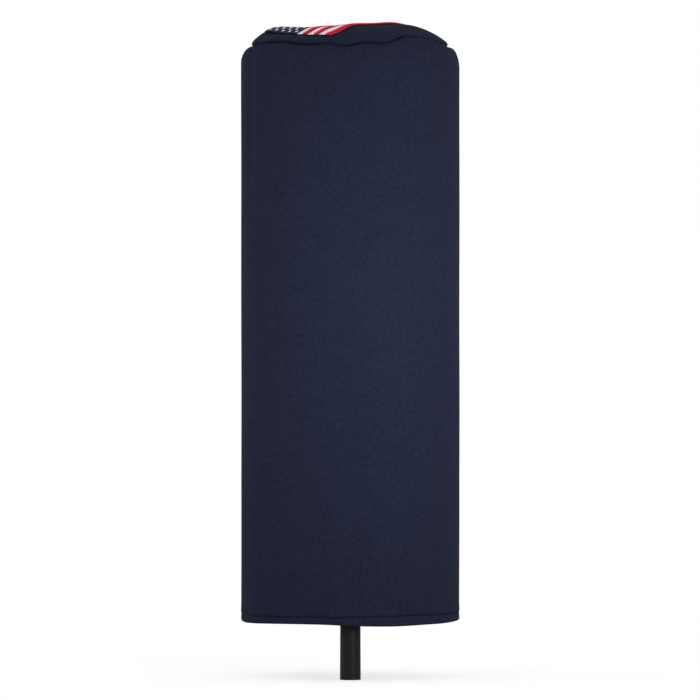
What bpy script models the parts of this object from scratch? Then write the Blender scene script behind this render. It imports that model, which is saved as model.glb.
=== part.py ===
"""Barrel-style golf club head cover, worn over a fairway wood.

The cover is a sewn barrel: an outer twill tube and domed crown, padding, a fleece lining, and an
elastic neck that hugs the shaft. It pulls off along the shaft (+Z), towards the head's end.

Frame: +Z up along the barrel's axis, origin on that axis at the level of the shaft's cut end.
+X is to the right and +Y away from a viewer who sees the shaft in front. Units: metres.
"""

import math

import bmesh
import bpy
from mathutils import Matrix, Vector

MM = 0.001
GAP = 0.3 * MM
SEGMENTS = 48

# ---- driving dimensions of the cover ----
BARREL_RADIUS = 57.15 * MM
BARREL_LENGTH = 301.1 * MM
MOUTH_Z = 28.1 * MM
SEAM_Z = MOUTH_Z + BARREL_LENGTH
TWILL = 1.0 * MM

SHOULDER_INSET = 5.2 * MM
SHOULDER_DROP = 9.4 * MM
SEAM_RADIUS = BARREL_RADIUS - SHOULDER_INSET - 0.35 * MM
FLANGE_LENGTH = 7.0 * MM

HEM_HEIGHT = 7.0 * MM
HEM_DEPTH = 3.15 * MM
HEM_STITCH_Z = MOUTH_Z + 4.8 * MM
STITCH_GROOVE = 1.2 * MM
STITCH_GROOVE_DEPTH = 0.8 * MM
THREAD_RADIUS = 0.22 * MM

CROWN_RISE = 8.7 * MM
CROWN_BUMP = 2.3 * MM
CROWN_BUMP_AT = (22 * MM, -20 * MM)
CROWN_BUMP_SPREAD = (17 * MM, 16 * MM)
CROWN_FLATNESS = 4.6

PAD_OUTER = 54.95 * MM
PAD_INNER = 52.3 * MM
LINING_OUTER = 52.0 * MM
FLEECE = 2.0 * MM
LINING_FLARE = 1.7 * MM
LINING_FLARE_HEIGHT = 13 * MM

NECK_Z = 187 * MM
NECK_RADIUS = 32.0 * MM
NECK_SHIFT = -14 * MM
NECK_FLAT = 16 * MM
NECK_SLOPE = 52 * MM
ELASTIC_WIDTH = 12 * MM
ELASTIC_THICKNESS = 1.2 * MM

TAPE_WIDTH = 16 * MM
TAPE_THICKNESS = 0.6 * MM
LABEL_WIDTH = 24 * MM
LABEL_TOP, LABEL_BOTTOM = MOUTH_Z + 42 * MM, MOUTH_Z + 8 * MM
LABEL_THICKNESS = 0.5 * MM
LABEL_ANGLE = math.radians(130)

FLAG_LENGTH = 75 * MM
FLAG_HEIGHT = 51 * MM
FLAG_ANGLE = math.radians(42.6)
PATCH_GAP = 0.4 * MM
PATCH_THICKNESS = 0.6 * MM

# ---- driving dimensions of the club ----
SHAFT_XY = (0.0, -36 * MM)
SHAFT_RADIUS_LOW = 5.4 * MM
SHAFT_RADIUS_TIP = 4.5 * MM
SHAFT_TIP_Z = 254.5 * MM
SHAFT_WALL = 1.3 * MM

LIE = math.radians(58)
LOFT = math.radians(17)
HEAD_TURN = math.radians(25.3)
HEAD_GROUND_Z = 277.0 * MM
HOSEL_END_Z = 228.5 * MM
HOSEL_RADIUS = 6.6 * MM
HOSEL_BORE = 4.95 * MM
FERRULE_LENGTH = 20 * MM

HEAD_CENTRE_T = 38.5 * MM
HEAD_CENTRE_F = -12 * MM
HEAD_HALF_LENGTH = 46.5 * MM
HEAD_BACK = 46 * MM
HEAD_FRONT = 34 * MM
SKIRT_HEIGHT = 14 * MM
CROWN_HEIGHT = 22 * MM
FACE_F = 14 * MM
FACE_U = 8 * MM
SOLE_FLAT = 0.7
CROWN_OPENING = 0.78
CROWN_LEDGE = 0.73
HEAD_WALL = 2.6 * MM
CROWN_SHELL = 1.4 * MM
FACE_PLATE = (29 * MM, 10.5 * MM, 1.2 * MM)
FACE_PLATE_U = 15.5 * MM
WEIGHT_RADIUS = 7.5 * MM
WEIGHT_THICKNESS = 1.3 * MM
WEIGHT_AT = (38 * MM, -32 * MM)
WEIGHT_KEY = 2.4 * MM

COLOURS = {
    "navy_twill": ((0.022, 0.026, 0.052), 0.85, 0.0),
    "fleece": ((0.030, 0.034, 0.060), 0.95, 0.0),
    "padding": ((0.75, 0.75, 0.72), 0.95, 0.0),
    "elastic": ((0.02, 0.02, 0.02), 0.80, 0.0),
    "binding": ((0.020, 0.022, 0.040), 0.80, 0.0),
    "thread": ((0.018, 0.021, 0.045), 0.60, 0.0),
    "flag_twill": ((0.55, 0.02, 0.04), 0.80, 0.0),
    "label": ((0.70, 0.70, 0.68), 0.80, 0.0),
    "shaft_black": ((0.017, 0.017, 0.017), 0.45, 0.0),
    "ferrule_black": ((0.010, 0.010, 0.010), 0.20, 0.0),
    "head_steel": ((0.35, 0.35, 0.36), 0.35, 1.0),
    "crown_black": ((0.008, 0.008, 0.009), 0.15, 0.0),
    "weight_steel": ((0.50, 0.50, 0.50), 0.30, 1.0),
}


# ---- small modelling helpers ----
def clear_scene():
    for obj in list(bpy.data.objects):
        bpy.data.objects.remove(obj)


def material(name):
    if name in bpy.data.materials:
        return bpy.data.materials[name]
    colour, roughness, metallic = COLOURS[name]
    made = bpy.data.materials.new(name)
    made.use_nodes = True
    shader = made.node_tree.nodes["Principled BSDF"]
    shader.inputs["Base Color"].default_value = (*colour, 1.0)
    shader.inputs["Roughness"].default_value = roughness
    shader.inputs["Metallic"].default_value = metallic
    return made


def finish(name, bm, material_name, parent=None, smooth=True):
    """Turns a bmesh into a named object, with its faces pointing out."""
    bmesh.ops.recalc_face_normals(bm, faces=bm.faces)
    mesh = bpy.data.meshes.new(name)
    bm.to_mesh(mesh)
    bm.free()
    if smooth:
        mesh.shade_smooth()
        mesh.set_sharp_from_angle(angle=math.radians(35))
    mesh.materials.append(material(material_name))
    obj = bpy.data.objects.new(name, mesh)
    bpy.context.scene.collection.objects.link(obj)
    obj.parent = parent
    return obj


def frame_empty(name, matrix):
    empty = bpy.data.objects.new(name, None)
    bpy.context.scene.collection.objects.link(empty)
    empty.matrix_world = matrix
    return empty


def helper(obj):
    """A cutter or a joining shape, which isn't a piece of its own."""
    obj.hide_render = True
    obj.display_type = "WIRE"
    return obj


def boolean(obj, other, operation):
    modifier = obj.modifiers.new(operation.lower(), "BOOLEAN")
    modifier.operation = operation
    modifier.object = other
    modifier.solver = "EXACT"


def turned(profile, segments=SEGMENTS, angle=2 * math.pi, start=0.0):
    """A closed (radius, height) outline spun round Z. A part turn gets flat ends."""
    bm = bmesh.new()
    spin_start = Matrix.Rotation(start, 3, "Z")
    corners = [bm.verts.new(spin_start @ Vector((r, 0, z))) for r, z in profile]
    edges = [bm.edges.new((a, b)) for a, b in zip(corners, corners[1:] + corners[:1])]
    whole = angle > 2 * math.pi - 1e-6
    if not whole:
        bm.faces.new(corners)
    bmesh.ops.spin(
        bm,
        geom=list(bm.faces) if not whole else edges,
        cent=(0, 0, 0),
        axis=(0, 0, 1),
        angle=angle,
        steps=segments,
        use_merge=whole,
    )
    bmesh.ops.remove_doubles(bm, verts=bm.verts, dist=1e-7)
    bmesh.ops.dissolve_degenerate(bm, edges=bm.edges, dist=1e-7)
    return bm


def stacked(rings, closed=True):
    """A solid from a list of rings of points. The last ring joins the first when closed, and a
    ring of one point is a tip."""
    bm = bmesh.new()
    layers = [[bm.verts.new(p) for p in ring] for ring in rings]
    pairs = list(zip(layers, layers[1:] + layers[:1])) if closed else list(zip(layers, layers[1:]))
    for low, high in pairs:
        if len(low) == 1 and len(high) == 1:
            continue
        count = max(len(low), len(high))
        for i in range(count):
            j = (i + 1) % count
            if len(low) == 1:
                bm.faces.new((low[0], high[j], high[i]))
            elif len(high) == 1:
                bm.faces.new((low[i], low[j], high[0]))
            else:
                bm.faces.new((low[i], low[j], high[j], high[i]))
    return bm


def arc(centre, radii, start, end, steps):
    """Points of an elliptic arc in a (radius, height) plane, angles in degrees."""
    angles = [math.radians(start + (end - start) * i / steps) for i in range(steps + 1)]
    return [(centre[0] + radii[0] * math.cos(a), centre[1] + radii[1] * math.sin(a)) for a in angles]


def polar(radius, angle):
    return radius * math.cos(angle), radius * math.sin(angle)


def smoothstep(x):
    x = min(1.0, max(0.0, x))
    return x * x * (3 - 2 * x)


# ---- the cover's shapes ----
def crown_rise(x, y):
    """How far the crown's middle stands above the seam here. The club's face lifts one side."""
    (bx, by), (sx, sy) = CROWN_BUMP_AT, CROWN_BUMP_SPREAD
    bump = math.exp(-((x - bx) ** 2 / sx**2 + (y - by) ** 2 / sy**2) / 2)
    return CROWN_RISE + CROWN_BUMP * bump


def crown_z(x, y, radius=SEAM_RADIUS - GAP, drop=0.0):
    """Height of the domed crown: flat in the middle, turning down steeply at the seam."""
    share = min(1.0, math.hypot(x, y) / radius)
    return SEAM_Z + (crown_rise(x, y) - drop) * (1 - share**CROWN_FLATNESS) ** 0.5


def dome_rings(radius, drop, tilts):
    """Rings of the dome at these edge tilts, in degrees: 0 is the centre and 90 the seam."""
    rings = []
    for tilt in tilts:
        r = radius * math.sqrt(math.sin(math.radians(tilt)))
        count = 1 if r == 0 else SEGMENTS
        points = [polar(r, 2 * math.pi * i / SEGMENTS) for i in range(count)]
        rings.append([Vector((x, y, crown_z(x, y, radius, drop))) for x, y in points])
    return rings


def ring_at(radius, z):
    points = [polar(radius, 2 * math.pi * i / SEGMENTS) for i in range(SEGMENTS)]
    return [Vector((x, y, z)) for x, y in points]


def make_barrel_shell():
    """The twill tube, with its hem turned up inside, its shoulder and its seam allowance."""
    outer, inner = BARREL_RADIUS, BARREL_RADIUS - TWILL
    hem_inner = BARREL_RADIUS - HEM_DEPTH
    top = SEAM_RADIUS + TWILL / 2
    groove_low = HEM_STITCH_Z - STITCH_GROOVE / 2
    groove_high = HEM_STITCH_Z + STITCH_GROOVE / 2
    groove_r = outer - STITCH_GROOVE_DEPTH
    drop = SHOULDER_DROP
    profile = [
        *arc((outer - HEM_DEPTH / 2, MOUTH_Z + HEM_DEPTH / 2), (HEM_DEPTH / 2,) * 2, 180, 360, 6),
        (outer, groove_low),
        (groove_r, groove_low + 0.15 * MM),
        (groove_r, groove_high - 0.15 * MM),
        (outer, groove_high),
        (outer, (MOUTH_Z + SEAM_Z) / 2),
        *arc((top, SEAM_Z - drop), (outer - top, drop), 0, 90, 6),
        (SEAM_RADIUS, SEAM_Z - TWILL / 2),
        (SEAM_RADIUS, SEAM_Z - FLANGE_LENGTH),
        (SEAM_RADIUS + TWILL, SEAM_Z - FLANGE_LENGTH),
        *arc((SEAM_RADIUS + TWILL, SEAM_Z - drop), (inner - SEAM_RADIUS - TWILL, drop - TWILL), 90, 0, 5),
        (inner, (MOUTH_Z + SEAM_Z) / 2),
        (inner, MOUTH_Z + HEM_HEIGHT + 1 * MM),
        (hem_inner, MOUTH_Z + HEM_HEIGHT),
    ]
    return finish("barrel_shell", turned(profile), "navy_twill")


def make_crown_panel():
    """The crown disc: domed, with its edge turned down inside the barrel's seam allowance."""
    radius = SEAM_RADIUS - GAP
    tilts = [0, 12, 25, 38, 50, 62, 74, 84, 90]
    foot = SEAM_Z - FLANGE_LENGTH
    inside = dome_rings(radius - TWILL, TWILL, tilts)
    rings = dome_rings(radius, 0.0, tilts)
    rings += [ring_at(radius, foot), ring_at(radius - TWILL, foot)]
    rings += inside[::-1]
    return finish("crown_panel", stacked(rings, closed=False), "navy_twill")


def make_seam_binding():
    """Bias tape folded over the raw edges of both seam allowances."""
    inner = SEAM_RADIUS - GAP - TWILL - GAP - TAPE_THICKNESS
    outer = SEAM_RADIUS + TWILL + GAP + TAPE_THICKNESS
    foot = SEAM_Z - FLANGE_LENGTH - GAP - TAPE_THICKNESS
    reach = SEAM_Z - 3 * MM
    profile = [
        (inner, foot),
        (outer, foot),
        (outer, reach),
        (outer - TAPE_THICKNESS, reach),
        (outer - TAPE_THICKNESS, foot + TAPE_THICKNESS),
        (inner + TAPE_THICKNESS, foot + TAPE_THICKNESS),
        (inner + TAPE_THICKNESS, reach),
        (inner, reach),
    ]
    return finish("seam_binding", turned(profile), "binding")


def make_crown_padding():
    """Batting under the crown, down to the crown's lining."""
    radius = SEAM_RADIUS - TWILL - TAPE_THICKNESS - 3 * GAP
    tilts = [0, 20, 38, 56, 74, 90]
    foot = SEAM_Z - FLANGE_LENGTH - 1.0 * MM
    top = dome_rings(radius, TWILL + GAP, tilts)
    middle = [Vector((0, 0, foot))]
    rings = [*top, ring_at(radius, foot), middle]
    return finish("crown_padding", stacked(rings, closed=False), "padding")


def make_crown_lining():
    """Fleece disc that closes the lining's top."""
    top = SEAM_Z - FLANGE_LENGTH - 1.3 * MM
    foot = top - FLEECE
    edge = LINING_OUTER - FLEECE - GAP
    rings = [[Vector((0, 0, top))], ring_at(edge, top), ring_at(edge, foot), [Vector((0, 0, foot))]]
    return finish("crown_lining", stacked(rings, closed=False), "fleece")


def make_barrel_padding():
    """Batting tube between the twill and the fleece."""
    low, high = MOUTH_Z + LINING_FLARE_HEIGHT + 3 * MM, SEAM_Z - FLANGE_LENGTH - 1.4 * MM
    profile = [(PAD_INNER, low), (PAD_OUTER, low), (PAD_OUTER, high), (PAD_INNER, high)]
    return finish("barrel_padding", turned(profile), "padding")


def neck_share(z):
    """1 in the elastic's grip, 0 well away from it."""
    return 1 - smoothstep((abs(z - NECK_Z) - NECK_FLAT / 2) / NECK_SLOPE)


def make_barrel_lining():
    """Fleece tube, drawn in by the elastic and flared to meet the hem."""
    low, high = MOUTH_Z + 3 * MM, SEAM_Z - FLANGE_LENGTH - 1.3 * MM
    slopes = [0, 0.22, 0.42, 0.6, 0.8, 1]
    below = [NECK_Z - NECK_FLAT / 2 - NECK_SLOPE * s for s in reversed(slopes)]
    above = [NECK_Z + NECK_FLAT / 2 + NECK_SLOPE * s for s in slopes]
    flare_end = MOUTH_Z + LINING_FLARE_HEIGHT
    heights = [low, flare_end - 4 * MM, flare_end, *below, *above, high]
    out = [(LINING_OUTER, z) for z in heights]
    back = [(LINING_OUTER - FLEECE, z) for z in reversed(heights)]
    bm = turned(out + back)
    for vert in bm.verts:
        z = vert.co.z
        share = neck_share(z)
        radius = math.hypot(vert.co.x, vert.co.y)
        scale = 1 + share * (NECK_RADIUS / LINING_OUTER - 1)
        flare = LINING_FLARE if z < flare_end - 2 * MM else 0.0
        scale *= (radius + flare) / radius
        vert.co.x *= scale
        vert.co.y = vert.co.y * scale + share * NECK_SHIFT
    return finish("barrel_lining", bm, "fleece")


def make_neck_elastic():
    """The elastic band sewn round the outside of the lining."""
    inner = NECK_RADIUS + GAP
    outer = inner + ELASTIC_THICKNESS
    low, high = NECK_Z - ELASTIC_WIDTH / 2, NECK_Z + ELASTIC_WIDTH / 2
    bm = turned([(inner, low), (outer, low), (outer, high), (inner, high)])
    bmesh.ops.translate(bm, verts=bm.verts, vec=(0, NECK_SHIFT, 0))
    return finish("neck_elastic", bm, "elastic")


def make_hem_topstitch():
    """The line of thread that holds the hem, in its groove."""
    middle = (BARREL_RADIUS - THREAD_RADIUS - 0.1 * MM, HEM_STITCH_Z)
    profile = arc(middle, (THREAD_RADIUS,) * 2, 0, 300, 5)
    return finish("hem_topstitch", turned(profile), "thread")


def make_back_seam_tape():
    """Tape over the barrel's one long seam, on the inside of the twill at the back."""
    outer = BARREL_RADIUS - TWILL - GAP
    inner = outer - TAPE_THICKNESS
    low, high = MOUTH_Z + HEM_HEIGHT + 2 * MM, SEAM_Z - SHOULDER_DROP - 1 * MM
    sweep = TAPE_WIDTH / outer
    profile = [(inner, low), (outer, low), (outer, high), (inner, high)]
    bm = turned(profile, segments=4, angle=sweep, start=math.pi / 2 - sweep / 2)
    return finish("back_seam_tape", bm, "binding")


def make_care_label():
    """A plain label that lies against the lining, inside the mouth."""
    outer = LINING_OUTER - FLEECE - GAP
    inner = outer - LABEL_THICKNESS
    sweep = LABEL_WIDTH / outer
    profile = [(inner, LABEL_BOTTOM), (outer, LABEL_BOTTOM), (outer, LABEL_TOP), (inner, LABEL_TOP)]
    bm = turned(profile, segments=6, angle=sweep, start=LABEL_ANGLE - sweep / 2)
    return finish("care_label", bm, "label")


def make_patch_layer(name, lift, margin):
    """One layer of the flag patch: a plate that follows the crown, this far above it."""
    columns, rows = 16, 10
    half_l, half_h = FLAG_LENGTH / 2 - margin, FLAG_HEIGHT / 2 - margin
    bm = bmesh.new()
    sheets = []
    for height in (lift, lift + PATCH_THICKNESS):
        grid = []
        for i in range(columns + 1):
            for j in range(rows + 1):
                u, v = half_l * (2 * i / columns - 1), half_h * (2 * j / rows - 1)
                x = u * math.cos(FLAG_ANGLE) - v * math.sin(FLAG_ANGLE)
                y = u * math.sin(FLAG_ANGLE) + v * math.cos(FLAG_ANGLE)
                grid.append(bm.verts.new((x, y, crown_z(x, y) + height)))
        sheets.append(grid)
    for grid in sheets:
        for i in range(columns):
            for j in range(rows):
                a = i * (rows + 1) + j
                bm.faces.new([grid[k] for k in (a, a + rows + 1, a + rows + 2, a + 1)])
    rim = [e for e in bm.edges if e.is_boundary]
    bmesh.ops.bridge_loops(bm, edges=rim)
    return finish(name, bm, "flag_twill", smooth=True)


# ---- the club's shapes ----
def make_shaft():
    def radius(z):
        return SHAFT_RADIUS_LOW + (SHAFT_RADIUS_TIP - SHAFT_RADIUS_LOW) * z / SHAFT_TIP_Z

    tip = radius(SHAFT_TIP_Z)
    profile = [
        (radius(0) - SHAFT_WALL, 0.0),
        (radius(0), 0.0),
        (tip, SHAFT_TIP_Z),
        (tip - SHAFT_WALL, SHAFT_TIP_Z),
    ]
    shaft = finish("shaft", turned(profile, segments=36), "shaft_black")
    shaft.location = (*SHAFT_XY, 0)
    return shaft


def make_ferrule():
    """Plastic collar that tapers from the hosel down to the shaft."""
    top = HOSEL_END_Z - GAP
    low = top - FERRULE_LENGTH
    bore = HOSEL_BORE + 0.05 * MM
    profile = [
        (bore, low),
        (bore + 0.5 * MM, low),
        (bore + 1.1 * MM, low + 7 * MM),
        (HOSEL_RADIUS - 0.2 * MM, top - 3.4 * MM),
        (HOSEL_RADIUS - 0.5 * MM, top - 3.0 * MM),
        (HOSEL_RADIUS, top - 2.6 * MM),
        (HOSEL_RADIUS, top),
        (bore, top),
    ]
    ferrule = finish("ferrule", turned(profile, segments=36), "ferrule_black")
    ferrule.location = (*SHAFT_XY, 0)
    return ferrule


def head_frame():
    """Axes of the head as it stands on the ground: heel to toe, back to face, and up. Here the
    club points its grip down, so the sole faces up."""
    away = Vector((math.sin(HEAD_TURN), math.cos(HEAD_TURN), 0))
    face = Vector((math.cos(HEAD_TURN), -math.sin(HEAD_TURN), 0))
    up = Vector((0, 0, 1))
    toe = math.cos(LIE) * up + math.sin(LIE) * away
    crown = -math.sin(LIE) * up + math.cos(LIE) * away
    turn = Matrix((toe, face, crown)).transposed().to_4x4()
    return Matrix.Translation((*SHAFT_XY, HEAD_GROUND_Z)) @ turn


def face_at(u):
    return FACE_F - (u - FACE_U) * math.tan(LOFT)


def head_ring(share, u, inset=0.0):
    """The head's outline at this share of its width and this height, cut flat at the face. The
    crown's rings stand back from the face, which rounds its front edge."""
    if share == 0:
        return [Vector((HEAD_CENTRE_T, HEAD_CENTRE_F, u))]
    crown_side = u > SKIRT_HEIGHT + 0.3 * CROWN_HEIGHT
    set_back = min(5 * MM, (0.84 - share) * 40 * MM) if crown_side and share < 0.84 else 0.0
    ring = []
    for i in range(SEGMENTS):
        a = 2 * math.pi * i / SEGMENTS
        c, s = math.cos(a), math.sin(a)
        t = HEAD_CENTRE_T + (HEAD_HALF_LENGTH * share - inset) * math.copysign(abs(c) ** 0.9, c)
        depth = HEAD_FRONT if s > 0 else HEAD_BACK
        f = HEAD_CENTRE_F + (depth * share - inset) * math.copysign(abs(s) ** 0.9, s)
        ring.append(Vector((t, min(f, face_at(u) - inset - set_back), u)))
    return ring


def sole_u(share):
    q = max(0.0, (share - SOLE_FLAT) / (1 - SOLE_FLAT))
    return SKIRT_HEIGHT * (1 - math.sqrt(1 - q * q))


def crown_u(share):
    return SKIRT_HEIGHT + CROWN_HEIGHT * (1 - share**2.5) ** 0.8


def make_hosel():
    """The socket that takes the shaft, and its bore."""
    deep = HEAD_GROUND_Z - 7 * MM
    solid = [(0, HOSEL_END_Z), (HOSEL_RADIUS, HOSEL_END_Z), (HOSEL_RADIUS, deep), (0, deep)]
    bore_end = SHAFT_TIP_Z + GAP
    start = HOSEL_END_Z - 5 * MM
    bore = [(0, start), (HOSEL_BORE, start), (HOSEL_BORE, bore_end), (0, bore_end)]
    made = []
    for name, profile in (("hosel_solid", solid), ("hosel_bore", bore)):
        obj = finish(name, turned(profile, segments=36), "head_steel")
        obj.location = (*SHAFT_XY, 0)
        made.append(helper(obj))
    return made


def disc(radii, thickness, segments):
    """An oval plate about its own origin, flat in its local XY."""
    bm = bmesh.new()
    bmesh.ops.create_cone(
        bm, cap_ends=True, segments=segments, radius1=radii[0], radius2=radii[0], depth=thickness
    )
    bmesh.ops.scale(bm, vec=(1, radii[1] / radii[0], 1), verts=bm.verts)
    return bm


def face_matrix(depth):
    """Places a plate flat against the club face, this far in from its plane."""
    normal = Vector((0, math.cos(LOFT), math.sin(LOFT)))
    across = Vector((1, 0, 0))
    turn = Matrix((across, normal.cross(across), normal)).transposed().to_4x4()
    point = Vector((HEAD_CENTRE_T, face_at(FACE_PLATE_U), FACE_PLATE_U))
    return Matrix.Translation(point - normal * depth) @ turn


def make_head(frame):
    """The hollow body with its hosel, the crown shell, the face plate and the sole weight."""
    shares = [0, SOLE_FLAT, 0.8, 0.88, 0.94, 0.98, 1.0]
    crown_shares = [0.985, 0.95, 0.9, 0.84, CROWN_OPENING]
    outside = [head_ring(s, sole_u(s)) for s in shares]
    outside += [head_ring(s, crown_u(s)) for s in crown_shares]
    wall = HEAD_WALL
    seat = CROWN_SHELL + GAP
    inside = [head_ring(s, crown_u(s) - seat) for s in (CROWN_OPENING, CROWN_LEDGE)]
    inside.append(head_ring(CROWN_LEDGE, crown_u(CROWN_LEDGE) - seat - 1.2 * MM))
    inside.append(head_ring(0.9, crown_u(0.9) - wall, wall * 0.6))
    inside.append(head_ring(0.985, sole_u(0.985) + wall * 0.6, wall))
    inside += [head_ring(s, sole_u(s) + wall, wall) for s in (0.9, SOLE_FLAT)]
    inside.append(head_ring(0, wall))
    body = finish("head_body", stacked(outside + inside, closed=False), "head_steel", frame)

    hosel, bore = make_hosel()
    boolean(body, hosel, "UNION")
    boolean(body, bore, "DIFFERENCE")

    half_l, half_h, plate = FACE_PLATE
    pocket = disc((half_l + GAP, half_h + GAP), 2 * (plate + GAP), 40)
    cutter = helper(finish("face_pocket", pocket, "head_steel", frame))
    cutter.matrix_local = face_matrix(0)
    boolean(body, cutter, "DIFFERENCE")
    face = finish("face_plate", disc((half_l, half_h), plate, 40), "head_steel", frame)
    face.matrix_local = face_matrix(plate / 2)

    well = disc((WEIGHT_RADIUS + GAP,) * 2, 2 * (WEIGHT_THICKNESS + GAP), 32)
    well_cutter = helper(finish("weight_well", well, "head_steel", frame))
    well_cutter.location = (*WEIGHT_AT, 0)
    boolean(body, well_cutter, "DIFFERENCE")
    weight = finish("sole_weight", disc((WEIGHT_RADIUS,) * 2, WEIGHT_THICKNESS, 32), "weight_steel", frame)
    weight.location = (*WEIGHT_AT, WEIGHT_THICKNESS / 2)
    key = helper(finish("weight_key", disc((WEIGHT_KEY,) * 2, WEIGHT_THICKNESS, 6), "weight_steel", frame))
    key.location = (*WEIGHT_AT, 0)
    boolean(weight, key, "DIFFERENCE")

    rim = CROWN_OPENING - 0.008
    steps = [rim, 0.66, 0.5, 0.32, 0]
    top = [head_ring(s, crown_u(s)) for s in steps]
    under = [head_ring(s, crown_u(s) - CROWN_SHELL) for s in reversed(steps)]
    finish("head_crown", stacked(top + under), "crown_black", frame)


def main():
    clear_scene()
    make_shaft()
    make_ferrule()
    make_head(frame_empty("club_head_frame", head_frame()))
    make_barrel_shell()
    make_crown_panel()
    make_seam_binding()
    make_crown_padding()
    make_crown_lining()
    make_barrel_padding()
    make_barrel_lining()
    make_neck_elastic()
    make_hem_topstitch()
    make_back_seam_tape()
    make_care_label()
    make_patch_layer("flag_patch_base", PATCH_GAP, 0.0)
    make_patch_layer("flag_patch_face", PATCH_GAP + PATCH_THICKNESS + GAP, 0.8 * MM)


main()
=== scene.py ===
"""The looks of a barrel-style golf headcover, worn over a fairway wood.

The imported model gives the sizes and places. The cover is rebuilt here as sewn cloth: a twill barrel
with a rolled and stitched hem, a puckered crown seam, an embroidered flag patch, batting, and a fleece
lining that an elastic draws into pleats. The club is rebuilt with finer curves and its small details.
"""

import math

import bmesh
import bpy
import numpy as np
from mathutils import Matrix, Vector


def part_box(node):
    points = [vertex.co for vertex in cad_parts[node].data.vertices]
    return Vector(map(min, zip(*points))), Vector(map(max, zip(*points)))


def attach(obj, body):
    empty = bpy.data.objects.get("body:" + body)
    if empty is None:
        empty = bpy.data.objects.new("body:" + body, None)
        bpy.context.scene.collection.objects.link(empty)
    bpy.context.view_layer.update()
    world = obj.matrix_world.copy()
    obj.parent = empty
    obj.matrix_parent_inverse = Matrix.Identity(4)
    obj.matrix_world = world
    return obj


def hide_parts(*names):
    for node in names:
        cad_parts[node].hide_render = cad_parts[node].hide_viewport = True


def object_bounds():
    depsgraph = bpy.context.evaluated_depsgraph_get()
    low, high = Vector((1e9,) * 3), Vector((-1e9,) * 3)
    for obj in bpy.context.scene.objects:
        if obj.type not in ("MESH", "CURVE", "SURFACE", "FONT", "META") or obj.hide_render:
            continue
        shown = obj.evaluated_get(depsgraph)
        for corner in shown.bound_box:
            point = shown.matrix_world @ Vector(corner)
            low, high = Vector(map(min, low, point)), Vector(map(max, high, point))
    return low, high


MM = 0.001
TAU = 2 * math.pi
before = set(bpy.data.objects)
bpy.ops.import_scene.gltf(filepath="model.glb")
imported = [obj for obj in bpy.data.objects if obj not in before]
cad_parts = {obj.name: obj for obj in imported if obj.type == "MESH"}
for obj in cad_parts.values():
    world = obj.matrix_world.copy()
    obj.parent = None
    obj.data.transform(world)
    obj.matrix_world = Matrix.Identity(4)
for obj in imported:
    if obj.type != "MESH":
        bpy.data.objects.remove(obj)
cad_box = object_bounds()

# ---- sizes read from the frame ----
SHELL_LOW, SHELL_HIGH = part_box("barrel_shell")
BARREL_R = SHELL_HIGH.x
MOUTH_Z = SHELL_LOW.z
SEAM_Z = SHELL_HIGH.z
CROWN_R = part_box("crown_panel")[1].x
CROWN_FOOT_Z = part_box("crown_panel")[0].z
SHAFT_LOW, SHAFT_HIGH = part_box("shaft")
SHAFT_X, SHAFT_Y = (SHAFT_LOW.x + SHAFT_HIGH.x) / 2, (SHAFT_LOW.y + SHAFT_HIGH.y) / 2
SHAFT_R = (SHAFT_HIGH.x - SHAFT_LOW.x) / 2

TWILL = 1.0 * MM
GAP = 0.3 * MM

# ---- the crown seam: (angle, width) in degrees round the barrel and height in mm of each wave ----
SEAM_WAVES = (
    (-142, 13, 1.25),
    (-132, 5, 0.5),
    (-104, 3.5, 0.45),
    (-93, 4.5, -1.0),
    (-81, 6, 0.8),
    (-57, 6.5, 2.3),
    (-42, 13, 3.7),
    (-5, 10, -0.4),
    (60, 20, 0.9),
    (115, 25, -0.4),
    (176, 12, -0.3),
)
# ---- where the seam's two cloths lie flush, as waves of the same kind ----
FLUSH_PARTS = ((-34, 9, 1.0), (-67, 4, 0.7), (-137, 3, 0.55), (20, 14, 0.4))
# ---- soft folds near the seam: from and to as (angle in degrees, mm above the seam), width and
# height in mm. A negative height is a valley. ----
FOLDS = (
    ((-148, 0), (-149, -75), 2.4, 0.6),
    ((-156, 1), (-156, -80), 3.4, -1.0),
    ((-139, -3), (-136, -40), 4.0, 0.25),
    ((-36, 5), (-38.5, -11), 0.9, 0.9),
    ((-32, 5), (-33, -9), 2.2, -0.8),
    ((-22, 2), (-14, -1), 1.6, -0.7),
    ((-96, 2), (-88, 6), 1.1, -0.7),
    ((-99, 5), (-104, 2), 1.6, 0.3),
    ((-92, -3), (-84, -16), 2.2, -0.22),
    ((-98, -4), (-110, -26), 2.6, 0.2),
    ((-62, -6), (-47, -24), 3.0, -0.2),
    ((-30, -150), (-8, -146), 3.0, -0.35),
    ((-34, -192), (-12, -197), 3.4, -0.35),
    ((-28, -236), (-10, -240), 3.0, -0.3),
    ((-24, -278), (-4, -275), 1.8, -0.35),
    ((-124, -288), (-84, -290), 2.2, -0.25),
    ((95, 0), (98, -60), 3.0, -0.5),
    ((70, -2), (62, -45), 3.2, 0.4),
    ((150, -4), (144, -50), 3.4, 0.35),
)
# ---- the mouth's edge, as waves of the same kind ----
HEM_WAVES = ((-116, 20, 0.85), (-72, 14, -0.35), (-8, 22, 0.6), (100, 30, 0.5))
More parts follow.
